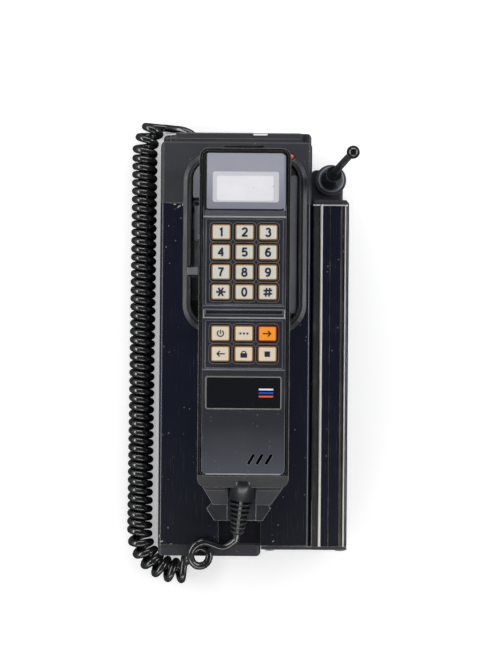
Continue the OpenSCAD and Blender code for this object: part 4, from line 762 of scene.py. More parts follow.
def left_of(heading: float) -> Vector:
    """Returns the flat unit vector to the left of a heading."""
    return Vector((-math.sin(heading), math.cos(heading)))


def smooth_line(points: list[Vector], steps: int) -> list[Vector]:
    """Runs a smooth curve through points.

    Args:
        points: The points that it passes.
        steps: Steps between each two of them.

    Returns:
        The curve's points.
    """
    out = []
    last = len(points) - 1
    for i in range(last):
        a, b, c, d = points[max(i - 1, 0)], points[i], points[i + 1], points[min(i + 2, last)]
        for k in range(steps):
            t = k / steps
            out.append((2 * b + (c - a) * t + (2 * a - 5 * b + 4 * c - d) * t ** 2
                        + (3 * b - a - 3 * c + d) * t ** 3) / 2)
    return out + [points[-1]]


# ---- Handset ----

def arc(x: float, y: float, radius: float, start: float, end: float, tall: float = 1.0) -> list[tuple[float, float]]:
    """Returns points on an arc.

    Args:
        x: Its centre's x, in millimetres.
        y: Its centre's y.
        radius: Its radius across.
        start: Where it begins, in degrees.
        end: Where it ends.
        tall: Its height over its width.

    Returns:
        Points from its start to its end.
    """
    angles = [math.radians(start + (end - start) * i / ARC_STEPS) for i in range(ARC_STEPS + 1)]
    return [(x + radius * math.cos(a), y + radius * tall * math.sin(a)) for a in angles]


# The digits' middle lines, in millimetres from the middle of the key
DIGIT_LINES: dict[str, list[list[tuple[float, float]]]] = {
    "0": [arc(0, 0, 1.35, 0, 360, 1.78)],
    "1": [[(-0.85, 1.35), (-0.1, 1.75), (0.35, 2.35), (0.35, -2.75)]],
    "2": [arc(0, 1.1, 1.35, 165, -38) + [(-1.4, -2.35), (1.75, -2.35)]],
    "3": [arc(-0.05, 1.2, 1.15, 155, -80), arc(-0.05, -1.05, 1.4, 80, -155)],
    "4": [[(0.7, -2.75), (0.7, 2.2), (-1.5, -0.95), (1.7, -0.95)]],
    "5": [[(1.5, 2.3), (-0.85, 2.3), (-1.15, 0.2)] + arc(-0.02, -0.85, 1.42, 128, -150)],
    "6": [arc(0, -0.95, 1.38, 90, 450), arc(0.35, -0.9, 1.73, 180, 68, 1.86)],
    "7": [[(-1.7, 2.3), (1.3, 2.3), (0.3, 0.4), (-0.25, -1.2), (-0.4, -2.75)]],
    "8": [arc(0, 1.25, 1.12, 0, 360), arc(0, -1.12, 1.38, 0, 360)],
    "9": [arc(0, 0.95, 1.38, 90, 450), arc(-0.35, 0.9, 1.73, 0, -112, 1.86)],
}


@dataclass
class Keypad:
    """The key tops with their legends."""

    corner: float = 1.3 * MM
    rim: float = 0.8 * MM
    pen: float = 1.2 * MM
    legend_lift: float = 0.06 * MM
    key_travel_room: float = 0.05 * MM
    flange: float = 0.55 * MM
    cap_depth: float = 4 * MM
    field_depth: float = 0.8 * MM
    sunk: float = 0.05 * MM
    gap_shade_height: float = 0.04 * MM
    collar_edge: float = 0.12 * MM
    gap_shade_width: float = 0.95 * MM
    collar_width: float = 0.4 * MM
    collar_height: float = 0.35 * MM
    numbers: tuple[str, ...] = ("1", "2", "3", "4", "5", "6", "7", "8", "9", "star", "0", "hash")

    def cap(self, node: str, top: Finish, flank: Finish) -> Vector:
        """Builds one key top over its CAD node.

        Args:
            node: The key's CAD node, which is also its body.
            top: The finish of its face.
            flank: The finish of its sides.

        Returns:
            The middle of its face.
        """
        low, high = corners(node)
        low = Vector((low.x + self.flange, low.y + self.flange, high.z - self.cap_depth))
        high = Vector((high.x - self.flange, high.y - self.flange, high.z))
        mesh = box_mesh(low, high, self.corner, self.rim)
        for face in mesh.faces:
            face.material_index = 0 if face.normal.z > 0.97 else 1
        finish_piece(node + "_top", mesh, (top, flank), node, (node,))
        self.surround(node, low, high, RED_GAP_SHADE if top is KEY_ORANGE else KEY_GAP_SHADE)
        return Vector(((low.x + high.x) / 2, (low.y + high.y) / 2, high.z))

    def surround(self, node: str, low: Vector, high: Vector, finish: Finish) -> None:
        """Builds the painted shade in the gap round a key, and the raised collar painted pale as a highlight, on the
        handset.

        Args:
            node: The key's CAD node.
            low: The key top's lowest corner.
            high: The key top's highest corner.
            finish: The finish of the painted shade in the gap.
        """
        ground = corners("handset_front_shell")[1].z - self.field_depth

        def ring(reach: float, width: float, height: float, edge: float = 0.0) -> bmesh.types.BMesh:
            """Makes a ring whose outer side is a distance from the key, and which stands over the face."""
            wide = Vector((reach, reach))
            return ring_mesh(Vector((*(low.xy - wide), ground - self.sunk)),
                             Vector((*(high.xy + wide), ground + height)), self.corner + reach, width, edge)

        reach = self.key_travel_room + self.gap_shade_width
        # A near-black ring in the gap round the key: painted shade
        gap_shade = ring(reach, self.gap_shade_width, self.gap_shade_height)
        finish_piece(node + "_gap_shade", gap_shade, (finish,), "handset", smooth=False)
        collar = ring(reach + self.collar_width, self.collar_width, self.collar_height, self.collar_edge)
        finish_piece(node + "_collar", collar, (PALE_RIDGE_HIGHLIGHT,), "handset")

    def digit(self, node: str, mark: str, place: Vector) -> None:
        """Prints a digit drawn with a pen of even width.

        Args:
            node: The key's body.
            mark: The digit.
            place: The middle of the key's face.
        """
        mesh = bmesh.new()
        for line in DIGIT_LINES[mark]:
            for a, b in zip(line, line[1:]):
                start, end = Vector(a) * MM, Vector(b) * MM
                turn = math.atan2(end.y - start.y, end.x - start.x)
                join_mesh(mesh, stroke_mesh(((start + end) / 2).to_3d(), (end - start).length, self.pen, turn))
            for x, y in line[1:-1]:
                dot = bmesh.new()
                bmesh.ops.create_circle(dot, cap_ends=True, segments=12, radius=self.pen / 2)
                bmesh.ops.translate(dot, vec=(x * MM, y * MM, 0), verts=dot.verts)
                join_mesh(mesh, dot)
        # Each stroke lies a hair over the one before it, so that none flickers through another
        for i, face in enumerate(mesh.faces):
            bmesh.ops.translate(mesh, vec=(0, 0, self.legend_lift * (1 + 0.01 * i)), verts=face.verts)
        bmesh.ops.translate(mesh, vec=place, verts=mesh.verts)
        finish_piece(node + "_legend", mesh, (LEGEND_INK,), node, smooth=False)

    def bars(self, node: str, place: Vector, strokes: list[tuple[float, float, float, float, float]]) -> None:
        """Prints a mark made of straight strokes.

        Args:
            node: The key's body.
            place: The middle of the key's face.
            strokes: Each stroke's middle x and y, length, width and angle in degrees, in millimetres.
        """
        mesh = bmesh.new()
        for x, y, length, width, angle in strokes:
            lift = Vector((x * MM, y * MM, self.legend_lift * (1 + 0.02 * len(mesh.faces))))
            join_mesh(mesh, stroke_mesh(place + lift, length * MM, width * MM, math.radians(angle)))
        finish_piece(node + "_legend", mesh, (LEGEND_INK,), node, smooth=False)

    def build(self) -> None:
        """Builds every key top and its legend."""
        star = [(0, 0, 5.9, 1.15, angle) for angle in (0, 60, 120)]
        lattice = [(-1.0, 0, 5.4, 1.1, 84), (1.0, 0, 5.4, 1.1, 84), (0, 1.05, 5.4, 1.1, 3),
                   (0, -1.05, 5.4, 1.1, 3)]
        for mark in self.numbers:
            node = f"key_{mark}"
            place = self.cap(node, KEY_GREY, KEY_FLANK)
            if mark == "star":
                self.bars(node, place, star)
            elif mark == "hash":
                self.bars(node, place, lattice)
            else:
                self.digit(node, mark, place)
        # Plain signs: a ring with a stroke, dots, two arrows, a padlock and a square
        signs = {
            "fkey_1": [(0, 0.9, 2.6, 0.7, 90)] + ring_strokes(1.9, 0.7, 125, 415),
            "fkey_2": [(-2.2, 0, 1.2, 1.2, 0), (0, 0, 1.2, 1.2, 0), (2.2, 0, 1.2, 1.2, 0)],
            "fkey_3": [(-0.4, 0, 5.0, 0.8, 0), (1.2, 0.8, 2.6, 0.8, -45), (1.2, -0.8, 2.6, 0.8, 45)],
            "fkey_4": [(0.4, 0, 5.0, 0.8, 0), (-1.2, 0.8, 2.6, 0.8, 45), (-1.2, -0.8, 2.6, 0.8, -45)],
            "fkey_5": [(0, -0.9, 4.2, 2.8, 0)] + ring_strokes(1.3, 0.6, 0, 180, 0.4),
            "fkey_6": [(0, 0, 3.4, 3.4, 0)],
        }
        for node, strokes in signs.items():
            bright = node == "fkey_3"
            place = self.cap(node, KEY_ORANGE if bright else KEY_CREAM, FLANK_RED if bright else KEY_FLANK)
            self.bars(node, place, strokes)


def ring_strokes(radius: float, width: float, start: float, end: float,
                 up: float = 0.0) -> list[tuple[float, float, float, float, float]]:
    """Breaks an arc into short strokes.

    Args:
        radius: The arc's radius, in millimetres.
        width: The stroke's width.
        start: Where it begins, in degrees.
        end: Where it ends.
        up: How far its centre is moved up.

    Returns:
        The strokes, as Keypad.bars takes them.
    """
    step = (end - start) / ARC_STEPS
    length = radius * math.radians(step) * STROKE_OVERLAP
    angles = [start + step * (i + 0.5) for i in range(ARC_STEPS)]
    return [(radius * math.cos(math.radians(a)), radius * math.sin(math.radians(a)) + up, length, width, a + 90)
            for a in angles]


@dataclass
class Display:
    """The window over the display: gasket with painted shade in its groove, printed border, frame, pane and a
    painted reflection on the right edge.
    """

    gasket_width: float = 0.95 * MM
    gasket_left: float = 1.2 * MM
    bevel_width: float = 0.7 * MM
    frame_inset: tuple[float, float, float, float] = (4.9 * MM, 3.9 * MM, 5.0 * MM, 11.9 * MM)
    pane_inset: tuple[float, float, float, float] = (2.5 * MM, 3.2 * MM, 0.9 * MM, 2.6 * MM)
    corner: float = 1.5 * MM
    print_lift: float = 0.05 * MM
    gasket_depth: float = 0.3 * MM
    gasket_corner: float = 3.5 * MM
    gasket_reach: float = 0.1 * MM
    rim: float = 0.3 * MM
    left_lift: float = 0.12 * MM
    bevel_lift: float = 0.13 * MM

    def layer(self, name: str, low: Vector, high: Vector, insets: tuple[float, float, float, float],
              finish: Finish) -> tuple[Vector, Vector]:
        """Lays a thin printed rectangle on the one beneath it.

        Args:
            name: The piece's name.
            low: The lowest corner of the one beneath.
            high: Its highest corner.
            insets: How far it stays inside that one, at its left, right, foot and head.
            finish: Its finish.

        Returns:
            Its own lowest and highest corner.
        """
        left, right, foot, head = insets
        near = Vector((low.x + left, low.y + foot, high.z - self.print_lift))
        far = Vector((high.x - right, high.y - head, high.z + self.print_lift))
        finish_piece(name, box_mesh(near, far, self.corner), (finish,), "handset")
        return near, far

    def build(self) -> None:
        """Builds the gasket and its painted shade, the border, frame and pane, and the painted reflection on the
        right edge.
        """
        low, high = corners("display_lens")
        border = box_mesh(low, high, self.corner, self.rim)
        finish_piece("display_border", border, (LENS_BORDER,), "handset", ("display_lens",))
        frame_low, frame_high = self.layer("display_frame", low, high, self.frame_inset, LENS_FRAME)
        self.layer("display_pane", frame_low, frame_high, self.pane_inset, LENS_PANE)
        # The black gasket runs round the lens, partly the real seal and partly painted shade in the groove at the
        # shell's edge, and covers more of its left-hand edge
        shell_low, shell_high = corners("handset_front_shell")
        foot = high.z - self.gasket_depth
        seal = ring_mesh(Vector((shell_low.x, low.y - self.gasket_reach, foot)),
                         Vector((shell_high.x, shell_high.y, high.z + self.gasket_reach)), self.gasket_corner,
                         self.gasket_width)
        finish_piece("lens_gasket_and_groove_shade", seal, (BLACK_SEAL_AND_SHADE,), "handset", smooth=False)
        strip = box_mesh(Vector((low.x - self.gasket_reach, low.y, foot)),
                         Vector((low.x + self.gasket_left, high.y - 1 * MM, high.z + self.left_lift)))
        finish_piece("lens_gasket_and_groove_shade_left", strip, (BLACK_SEAL_AND_SHADE,), "handset", smooth=False)
        # A pale bluish strip on the lens's right edge: a painted reflection
        bevel = box_mesh(Vector((high.x - self.bevel_width, low.y, foot)),
                         Vector((high.x + 0.2 * MM, high.y - 2 * MM, high.z + self.bevel_lift)))
        finish_piece("lens_bevel_reflection_right", bevel, (LENS_BEVEL_REFLECTION,), "handset", smooth=False)


@dataclass
class FaceTrim:
    """The moulded beads across the handset's face, painted pale as highlights."""

    # Each bead: its distance below the face's upper edge, end insets, width and height, in millimetres
    beads: tuple[tuple[float, float, float, float, float], ...] = (
        (40.6, 0.1, 0.1, 1.2, 0.45), (95.9, 0.6, 0.6, 0.6, 0.2), (98.1, 0.6, 0.6, 0.6, 0.2),
        (103.3, 0.1, 0.1, 0.9, 0.4), (135.6, 0.4, 0.4, 0.8, 0.3))
    # A bead painted as the highlight on the front shell's lower edge, with its distance from that edge in place of
    # the first
    foot_bead: tuple[float, float, float, float, float] = (0.6, 2.6, 2.6, 0.9, 0.35)
    bars: tuple[float, float] = (98.3, 103.2)
    bar_width: float = 0.8 * MM
    bar_height: float = 0.3 * MM
    bright_width: float = 0.8
    strip_length: float = 3.6 * MM
    strip_inset: float = 1 * MM

    def build(self) -> None:
        """Builds the beads, the strip under the lens and the two end bars of the dark strip, the bars painted pale
        as highlights.
        """
        low, high = corners("handset_front_shell")
        foot_line = ((high.y - low.y) / MM - self.foot_bead[0], *self.foot_bead[1:])
        for i, (down, left, right, width, height) in enumerate(self.beads + (foot_line,)):
            y = high.y - down * MM
            bead = bead_mesh(Vector((low.x + left * MM, y, high.z)), Vector((high.x - right * MM, y, high.z)),
                             width * MM, height * MM)
            # Wide beads take the brighter painted highlight, thin ones the paler grey one
            finish = BEAD_HIGHLIGHT if width > self.bright_width else PALE_RIDGE_HIGHLIGHT
            finish_piece(f"face_bead_{i + 1}", bead, (finish,), "handset")
        lens_foot = corners("display_lens")[0].y
        strip = box_mesh(Vector((low.x + self.strip_inset, lens_foot - self.strip_length, high.z - 0.2 * MM)),
                         Vector((high.x - self.strip_inset, lens_foot - 0.3 * MM, high.z + 0.05 * MM)))
        finish_piece("strip_under_lens", strip, (STRIP_ABS,), "handset", smooth=False)
        top, foot = (high.y - down * MM for down in self.bars)
        for side, x in (("left", low.x + self.bar_width), ("right", high.x - self.bar_width)):
            bar = bead_mesh(Vector((x, foot, high.z)), Vector((x, top, high.z)), self.bar_width,
                            self.bar_height)
            finish_piece(f"strip_bar_{side}", bar, (BEAD_HIGHLIGHT,), "handset")


@dataclass
class StrainRelief:
    """The cord's boot: a collar, then ribs joined by spines over a thin core."""

    root: Vector = field(default_factory=lambda: Vector((-6.2, -88.0, 73.0)) * MM)
    turn: float = math.radians(-6)
    dip: float = math.radians(20)
    length: float = 34.5 * MM
    radius: float = 7.5 * MM
    tip_radius: float = 4.2 * MM
    core_radius: float = 2.7 * MM
    collar_length: float = 11 * MM
    ribs: int = 7
    slot_share: float = 0.5
    swell: float = 0.8 * MM
    squareness: float = 0.32
    lift: float = 0.9 * MM
    # The slope of each slice against the axis: at the tip, and how much more at the root
    slope: tuple[float, float] = (0.35, 0.65)
    rib_edge: float = 0.3 * MM
    spine_width: float = 1.5 * MM

    def outside(self, along: float) -> float:
        """Returns the boot's radius at a distance from its root."""
        share = max(0.0, (along - self.collar_length) / (self.length - self.collar_length))
        return self.radius + (self.tip_radius - self.radius) * share

    def profile(self) -> list[tuple[float, float]]:
        """Returns its outline as radius and distance along it."""
        line = [(0.0, -4 * MM), (self.radius - 1.6 * MM, -3.9 * MM), (self.radius - 0.6 * MM, -3.3 * MM),
                (self.radius, -2 * MM), (self.radius, 1.4 * MM)]
        pitch = (self.length - self.collar_length) / self.ribs
        for i in range(self.ribs):
            start = self.collar_length + i * pitch
            end = start + pitch * self.slot_share
            e = self.rib_edge
            line += [(self.outside(start), start - e), (self.outside(start) - e, start),
                     (self.core_radius, start), (self.core_radius, end), (self.outside(end) - e, end),
                     (self.outside(end), end + e)]
        return line + [(self.tip_radius, self.length - self.rib_edge),
                       (self.tip_radius - self.rib_edge, self.length), (0.0, self.length)]

    def build(self) -> None:
        """Spins the outline, adds the spines, bends both and lays them along the boot's axis."""
        mesh = spun_mesh(self.profile(), 48)
        spine = box_mesh(Vector((-self.spine_width / 2, -self.radius, self.collar_length - 1 * MM)),
                         Vector((self.spine_width / 2, self.radius, self.length - 1 * MM)))
        for z in (self.collar_length - 1 * MM, self.length - 1 * MM):
            ring = [v for v in spine.verts if abs(v.co.z - z) < MERGE]
            bmesh.ops.scale(spine, vec=(1, (self.outside(z) - 0.15 * MM) / self.radius, 1), verts=ring)
        join_mesh(mesh, spine)
        bmesh.ops.recalc_face_normals(mesh, faces=mesh.faces[:])
        # The core's faces between the ribs take the black finish: painted shade in the gaps
        for face in mesh.faces:
            face.material_index = int(all(v.co.xy.length < self.core_radius * 1.02 for v in face.verts))
        # It leaves the handset level, then dips, and its squarish collar stands proud of the handset's foot
        for vert in mesh.verts:
            share = max(0.0, min(1.0, 1 - vert.co.z / self.length))
            square = 1 - self.squareness * max(0.0, min(1.0, 1 - vert.co.z / self.collar_length))
            across = self.radius * (abs(vert.co.x) / self.radius) ** square
            vert.co.x = math.copysign(min(across, self.radius), vert.co.x)
            vert.co.z -= vert.co.y * math.tan(self.dip) * (self.slope[0] + self.slope[1] * share)
            vert.co.y += (self.swell * vert.co.y / self.radius + self.lift) * share ** 2
        laid = (Matrix.Translation(self.root) @ Matrix.Rotation(self.turn, 4, "Z")
                @ Matrix.Rotation(math.pi / 2 + self.dip, 4, "X"))
        bmesh.ops.transform(mesh, matrix=laid, verts=mesh.verts)
        finish_piece("strain_relief", mesh, (NEOPRENE, BLACK_SEAL_AND_SHADE), "handset", ("cord_boot",))


@dataclass
class NamePlateBars:
    """The printed edge and three plain bars on the plate under the keys."""

    edge_width: float = 0.5 * MM
    corner: float = 1.2 * MM
    margin: float = 5 * MM
    bar_length: float = 9 * MM
    bar_width: float = 1.1 * MM
    pitch: float = 2.2 * MM
    lift: float = 0.05 * MM

    def build(self) -> None:
        """Lays the edge, and the bars in a short stack at the plate's right."""
        low, high = corners("name_plate")
        edge = ring_mesh(Vector((low.x, low.y, high.z - 0.1 * MM)), Vector((high.x, high.y, high.z + 0.08 * MM)),
                         self.corner, self.edge_width)
        finish_piece("plate_edge", edge, (PLATE_EDGE,), "handset", smooth=False)
        right = high.x - self.margin
        middle = (low.y + high.y) / 2
        for i, finish in enumerate((BAR_WHITE, BAR_BLUE, BAR_ORANGE)):
            y = middle + (1 - i) * self.pitch
            bar = box_mesh(Vector((right - self.bar_length, y - self.bar_width / 2, high.z - self.lift)),
                           Vector((right, y + self.bar_width / 2, high.z + self.lift)))
            finish_piece(f"plate_bar_{i + 1}", bar, (finish,), "handset", smooth=False)


# ---- Unit ----

@dataclass
class UnitTrim:
    """Small things on the unit's face: painted shadow in the slot, painted shade on the channel's floor, a paler
    ledge and painted light inside the cradle, a painted highlight and a dust line at the rim, and chips.
    """

    slot_middle: Vector = field(default_factory=lambda: Vector((-6.6, 127.7)) * MM)
    slot_size: tuple[float, float] = (24.6 * MM, 1.0 * MM)
    slot_depth: float = 1.35 * MM
    ledge: tuple[float, float, float, float] = (22.9, 27.0, 20.0, 108.0)
    ledge_height: float = 60.6 * MM
    # Thin skins: their reach in x and y, and their height, in millimetres
    channel: tuple[float, float, float, float, float] = (-21.4, 5.4, -128.8, -112.2, 45.9)
    inner: tuple[float, float, float, float, float] = (-40.6, -34.6, 28.0, 92.0, 51.05)
    rim_height: float = 44 * MM
    rim_left: float = 3 * MM
    rim_right: float = 8 * MM
    rim_line: tuple[float, float] = (0.6 * MM, 0.15 * MM)
    skin: float = 0.05 * MM
    # Each chip: x, y, length, width in millimetres, and its turn in degrees
    chips: tuple[tuple[float, float, float, float, float], ...] = (
        (-49.0, 88.6, 3.2, 1.3, 38), (-51.6, 90.0, 2.4, 0.9, 10), (-46.6, 89.9, 2.0, 0.9, 75),
        (-58.6, -127.8, 3.0, 0.9, 15), (-59.9, -124.2, 2.6, 0.7, 88), (-52.4, -129.3, 2.2, 0.5, 0),
        (13.6, -127.0, 2.0, 0.6, 40), (-57.1, 62.4, 0.9, 0.7, 0), (-55.6, 76.0, 0.8, 0.6, 60))
    raggedness: float = 0.28
    chip_lift: float = 0.04 * MM

    def build(self) -> None:
        """Builds each of them."""
        face = corners("transceiver_case")[1].z
        x, y = self.slot_middle
        half, tall = self.slot_size[0] / 2, self.slot_size[1] / 2
        # A thin black sheet in the slot: painted shadow
        floor = box_mesh(Vector((x - half, y - tall, face - self.slot_depth - self.skin)),
                         Vector((x + half, y + tall, face - self.slot_depth)))
        finish_piece("slot_painted_shadow", floor, (BLACK_SEAL_AND_SHADE,), "radio_unit", smooth=False)
        # A paler grey skin on the cradle's ledge beside the handset
        x0, x1, y0, y1 = (v * MM for v in self.ledge)
        ledge = box_mesh(Vector((x0, y0, self.ledge_height - 2 * self.skin)),
                         Vector((x1, y1, self.ledge_height + self.skin)), 1.5 * MM)
        finish_piece("cradle_ledge_skin", ledge, (PALE_LEDGE_AND_PAINTED_LIGHT,), "radio_unit", smooth=False)
        # The channel's floor painted darker as shade under the boot, and a paler skin inside the cradle's left side
        # as painted light that lifts its shadow
        for name, (x0, x1, y0, y1, z), finish in (("channel_shade_and_dust", self.channel, CHANNEL_SHADE_AND_DUST),
                                                  ("cradle_inner_painted_light", self.inner, PALE_LEDGE_AND_PAINTED_LIGHT)):
            thin = box_mesh(Vector((x0, y0, z - 0.05)) * MM, Vector((x1, y1, z + 0.05)) * MM)
            finish_piece(name, thin, (finish,), "radio_unit", smooth=False)
        cap_low, cap_high = corners("top_cap")
        # A pale line painted as the highlight on the rim's upper edge, and beige dust along the seam
        for name, back, finish in (("rim_edge_highlight", 0.5 * MM, PALE_RIDGE_HIGHLIGHT), ("rim_seam_line", 3.9 * MM, SEAM_DUST)):
            y = cap_high.y - back
            line = bead_mesh(Vector((cap_low.x + self.rim_left, y, self.rim_height)),
                             Vector((cap_high.x - self.rim_right, y, self.rim_height)), *self.rim_line)
            finish_piece(name, line, (finish,), "radio_unit")
        mesh = bmesh.new()
        for i, (cx, cy, length, width, turn) in enumerate(self.chips):
            chip = bmesh.new()
            bmesh.ops.create_circle(chip, cap_ends=True, segments=9, radius=0.5)
            # A ragged outline, different on each chip
            for k, vert in enumerate(chip.verts):
                vert.co *= 1 - self.raggedness * ((k * 5 + i * 3) % 7) / 6
            bmesh.ops.scale(chip, vec=(length * MM, width * MM, 1), verts=chip.verts)
            turned(chip, math.radians(turn))
            bmesh.ops.translate(chip, vec=(cx * MM, cy * MM, face + self.chip_lift), verts=chip.verts)
            join_mesh(mesh, chip)
        finish_piece("primer_chips", mesh, (PRIMER,), "radio_unit", smooth=False)


@dataclass
class AntennaWhip:
    """The rubber whip, which leans a little from its socket and ends in a ball."""

    lean: Vector = field(default_factory=lambda: Vector((3.4, -1.9)) * MM)
    root_radius: float = 2.4 * MM
    end_radius: float = 1.9 * MM
    ball_radius: float = 3.6 * MM
    neck_length: float = 14 * MM
    edge_radius: float = 0.32 * MM
    edge_inset: float = 0.35 * MM
    seat: float = 10 * MM
    steps: int = 12
    ball_start: float = -42
    ball_sweep: float = 132
    bend: float = 1.3

    def build(self) -> None:
        """Spins the whip's outline, bends it towards its lean, and lays a thin ring round the nut's edge as a
        painted highlight.
        """
        low, high = corners("antenna_whip")
        length = high.z - low.z
        ball = length - self.ball_radius
        line = [(0.0, 0.0), (self.root_radius, 0.0), (self.root_radius, self.seat)]
        line += [(self.root_radius + (self.end_radius - self.root_radius) * i / self.steps,
                  self.seat + (ball - self.neck_length - self.seat) * i / self.steps)
                 for i in range(1, self.steps + 1)]
        # The ball, from where the neck runs into it up to its pole
        turns = [math.radians(self.ball_start + self.ball_sweep * i / self.steps) for i in range(self.steps + 1)]
        line += [(self.ball_radius * math.cos(a), ball + self.ball_radius * math.sin(a)) for a in turns]
        mesh = spun_mesh(line, 32)
        for vert in mesh.verts:
            share = max(0.0, (vert.co.z - self.seat) / (length - self.seat)) ** self.bend
            vert.co.xy += self.lean * share
        middle = (low + high) / 2
        bmesh.ops.translate(mesh, vec=(middle.x, middle.y, low.z), verts=mesh.verts)
        finish_piece("whip", mesh, (ANTENNA_NEOPRENE,), "antenna", ("antenna_whip",))
        # A thin pale ring round the nut's edge: a painted highlight
        nut_low, nut_high = corners("antenna_nut")
        edge = bmesh.new()
        bmesh.ops.create_circle(edge, segments=10, radius=self.edge_radius)
        turned(edge, math.pi / 2, "X")
        bmesh.ops.translate(edge, vec=((nut_high.x - nut_low.x) / 2 - self.edge_inset, 0,
                                       nut_high.z - self.edge_inset), verts=edge.verts)
        spin_round(edge, 64)
        bmesh.ops.translate(edge, vec=(middle.x, middle.y, 0), verts=edge.verts)
        finish_piece("nut_painted_highlight", edge, (NUT_HIGHLIGHT,), "antenna_nut")


# ---- Battery ----

@dataclass
class BatteryRibs:
    """The scraped crests, end band and glue line along the battery's face."""

    inner_offset: float = 5.95 * MM
    inner_width: float = 1.6 * MM
    outer_offset: float = 21.4 * MM
    outer_width: float = 0.8 * MM
    height: float = 0.8 * MM
    groove_offset: float = 18.65 * MM
    groove_width: float = 0.9 * MM
    end_band: float = 0.8 * MM
    battery_width: float = 23.8 * MM
    cap_share: float = 3 * MM
    root: float = 0.3 * MM

    def build(self) -> None:
        """Builds both crests, the band across the sleeve's upper end and the line in the groove."""
        foot = corners("battery_sleeve")[0].y
        edge = corners("battery_foot_plate")[1].x - self.battery_width
        face = corners("transceiver_case")[1].z
        end = corners("battery_top_cap")[1].y - self.cap_share
        for name, offset, width, height in (("inner", self.inner_offset, self.inner_width, self.height),
                                            ("outer", self.outer_offset, self.outer_width, self.height * 0.5)):
            x = edge + offset
            crest = box_mesh(Vector((x - width / 2, foot, face - self.root)),
                             Vector((x + width / 2, end, face + height)))
            upper = [e for e in crest.edges if all(v.co.z > face for v in e.verts)
                     and abs(e.verts[0].co.y - e.verts[1].co.y) > 0.1]
            bmesh.ops.bevel(crest, geom=upper, offset=width * 0.4, segments=4, profile=0.5, affect="EDGES",
                            material=-1)
            finish_piece(f"battery_rib_{name}", crest, (SCRAPED,), "battery")
        dusty = box_mesh(Vector((edge + 1.2 * MM, foot, face - self.root)),
                         Vector((edge + self.inner_offset - self.inner_width / 2 - 0.2 * MM, end, face - 0.1 * MM)))
        finish_piece("battery_dusty_band", dusty, (DUSTY_BAND,), "battery", smooth=False)
        across = box_mesh(Vector((edge + 0.4 * MM, end - self.end_band, face - self.root)),
                          Vector((edge + self.outer_offset + 1.6 * MM, end, face + self.root)), 0.3 * MM,
                          0.25 * MM)
        finish_piece("battery_end_band", across, (SCRAPED,), "battery")
        x = edge + self.groove_offset
        line = box_mesh(Vector((x, foot, face - 0.32 * MM)), Vector((x + self.groove_width, end, face - 0.2 * MM)))
        finish_piece("battery_glue_line", line, (GLUE_LINE,), "battery", smooth=False)


# ---- Studio ----

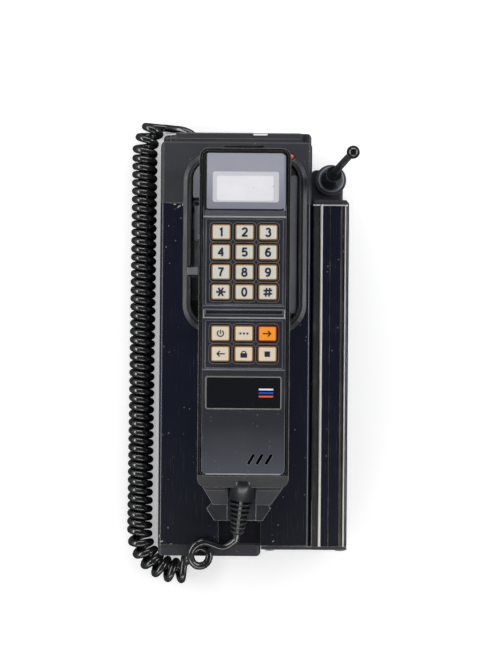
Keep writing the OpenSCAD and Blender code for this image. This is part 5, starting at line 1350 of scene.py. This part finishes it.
@dataclass
class Studio:
    """Camera, floor, world and lamps."""

    camera_at: Vector = field(default_factory=lambda: Vector((-1.8, 6.0, 1100.0)) * MM)
    camera_roll: float = 0.008
    focal_px: float = 1629.0
    frame_px: float = 670.0
    sensor: float = 36.0
    box_size: tuple[float, float] = (1.4, 0.25)
    box_power: float = 6.9
    paper_glow: float = 0.38
    # The sky's strength falls from the first level to the second between these two heights
    sky_heights: tuple[float, float] = (0.35, 0.9)
    sky_levels: tuple[float, float] = (0.40, 0.10)
    # Each soft box: its name, its place in metres and its power over box_power
    boxes: tuple[tuple[str, tuple[float, float, float], float], ...] = (
        ("left_box", (-1.05, 0.1, 0.7), 1.1), ("right_box", (1.05, 0.1, 0.7), 1.1),
        ("upper_box", (0.0, 1.15, 0.7), 1.0), ("lower_box", (0.0, -1.15, 0.7), 0.75))

    def camera(self) -> None:
        """Hangs the camera straight over the phone, turned a little as in the photograph."""
        data = bpy.data.cameras.new("camera")
        data.sensor_width = self.sensor
        data.lens = self.focal_px / self.frame_px * self.sensor
        data.clip_end = 10
        holder = bpy.data.objects.new("camera", data)
        bpy.context.scene.collection.objects.link(holder)
        holder.location = self.camera_at
        holder.rotation_euler = (0, 0, self.camera_roll)
        bpy.context.scene.camera = holder

    def floor(self) -> None:
        """Lays a paper floor, white to the camera with a soft shadow, and dim in the phone's gloss."""
        mesh = bmesh.new()
        bmesh.ops.create_grid(mesh, x_segments=1, y_segments=1, size=6)
        data = bpy.data.meshes.new("floor")
        mesh.to_mesh(data)
        mesh.free()
        material, tree, shader = blank_material("paper")
        shader.inputs["Roughness"].default_value = 0.9
        path = add(tree, "ShaderNodeLightPath")
        paper_colour = blend_colour(tree, path.outputs["Is Glossy Ray"], linear("f6f6f6"), linear("585858"))
        tree.links.new(paper_colour, shader.inputs["Base Color"])
        glow = times(tree, path.outputs["Is Camera Ray"], self.paper_glow)
        shader.inputs["Emission Color"].default_value = (1, 1, 1, 1)
        tree.links.new(glow, shader.inputs["Emission Strength"])
        data.materials.append(material)
        paper = bpy.data.objects.new("floor", data)
        bpy.context.scene.collection.objects.link(paper)

    def world(self) -> None:
        """Makes a sky that is dim overhead and bright at the sides, and white to the camera."""
        world = bpy.data.worlds.new("studio")
        bpy.context.scene.world = world
        world.use_nodes = True
        tree = world.node_tree
        tree.nodes.clear()
        ray = add(tree, "ShaderNodeTexCoord").outputs["Generated"]
        height = add(tree, "ShaderNodeSeparateXYZ", {0: ray}).outputs[2]
        (low, high), (first, last) = self.sky_heights, self.sky_levels
        level = add(tree, "ShaderNodeMapRange", {"Value": height, "From Min": low, "From Max": high,
                                                 "To Min": first, "To Max": last})
        path = add(tree, "ShaderNodeLightPath")
        strength = add(tree, "ShaderNodeMix", {0: path.outputs["Is Camera Ray"], 2: level.outputs["Result"],
                                               3: 1.0}, data_type="FLOAT")
        sky = add(tree, "ShaderNodeBackground", {"Color": (1, 1, 1, 1), "Strength": strength.outputs[0]})
        add(tree, "ShaderNodeOutputWorld", {"Surface": sky.outputs[0]})

    def lamp(self, name: str, place: Vector, share: float) -> None:
        """Hangs a long, low soft box that faces the phone.

        Args:
            name: The lamp's name.
            place: Where it hangs.
            share: Its power over that of the others.
        """
        data = bpy.data.lights.new(name, "AREA")
        data.shape = "RECTANGLE"
        data.size, data.size_y = self.box_size
        data.energy = self.box_power * share
        holder = bpy.data.objects.new(name, data)
        bpy.context.scene.collection.objects.link(holder)
        holder.location = place
        holder.rotation_euler = (-place).to_track_quat("-Z", "Y").to_euler()

    def build(self) -> None:
        """Sets the floor, the world and four long, low soft boxes."""
        self.floor()
        self.world()
        for name, place, share in self.boxes:
            self.lamp(name, Vector(place), share)
        bpy.context.scene.view_settings.view_transform = "Standard"


def dress_nodes() -> None:
    """Gives each CAD node that stays its finish."""
    for finish, nodes in NODE_FINISH.items():
        for node in nodes:
            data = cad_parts[node].data
            data.materials.clear()
            data.materials.append(PALETTE[finish])
        LOG.info("%s: %s", finish.name, ", ".join(nodes))


def main() -> None:
    """Builds the camera and the cord first, then every other piece."""
    logging.basicConfig(level=logging.INFO, format="%(message)s")
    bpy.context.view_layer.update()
    studio = Studio()
    studio.camera()
    CurlyCord().build()
    dress_nodes()
    Keypad().build()
    Display().build()
    FaceTrim().build()
    StrainRelief().build()
    NamePlateBars().build()
    UnitTrim().build()
    AntennaWhip().build()
    BatteryRibs().build()
    studio.build()


if __name__ == "__main__":
    main()
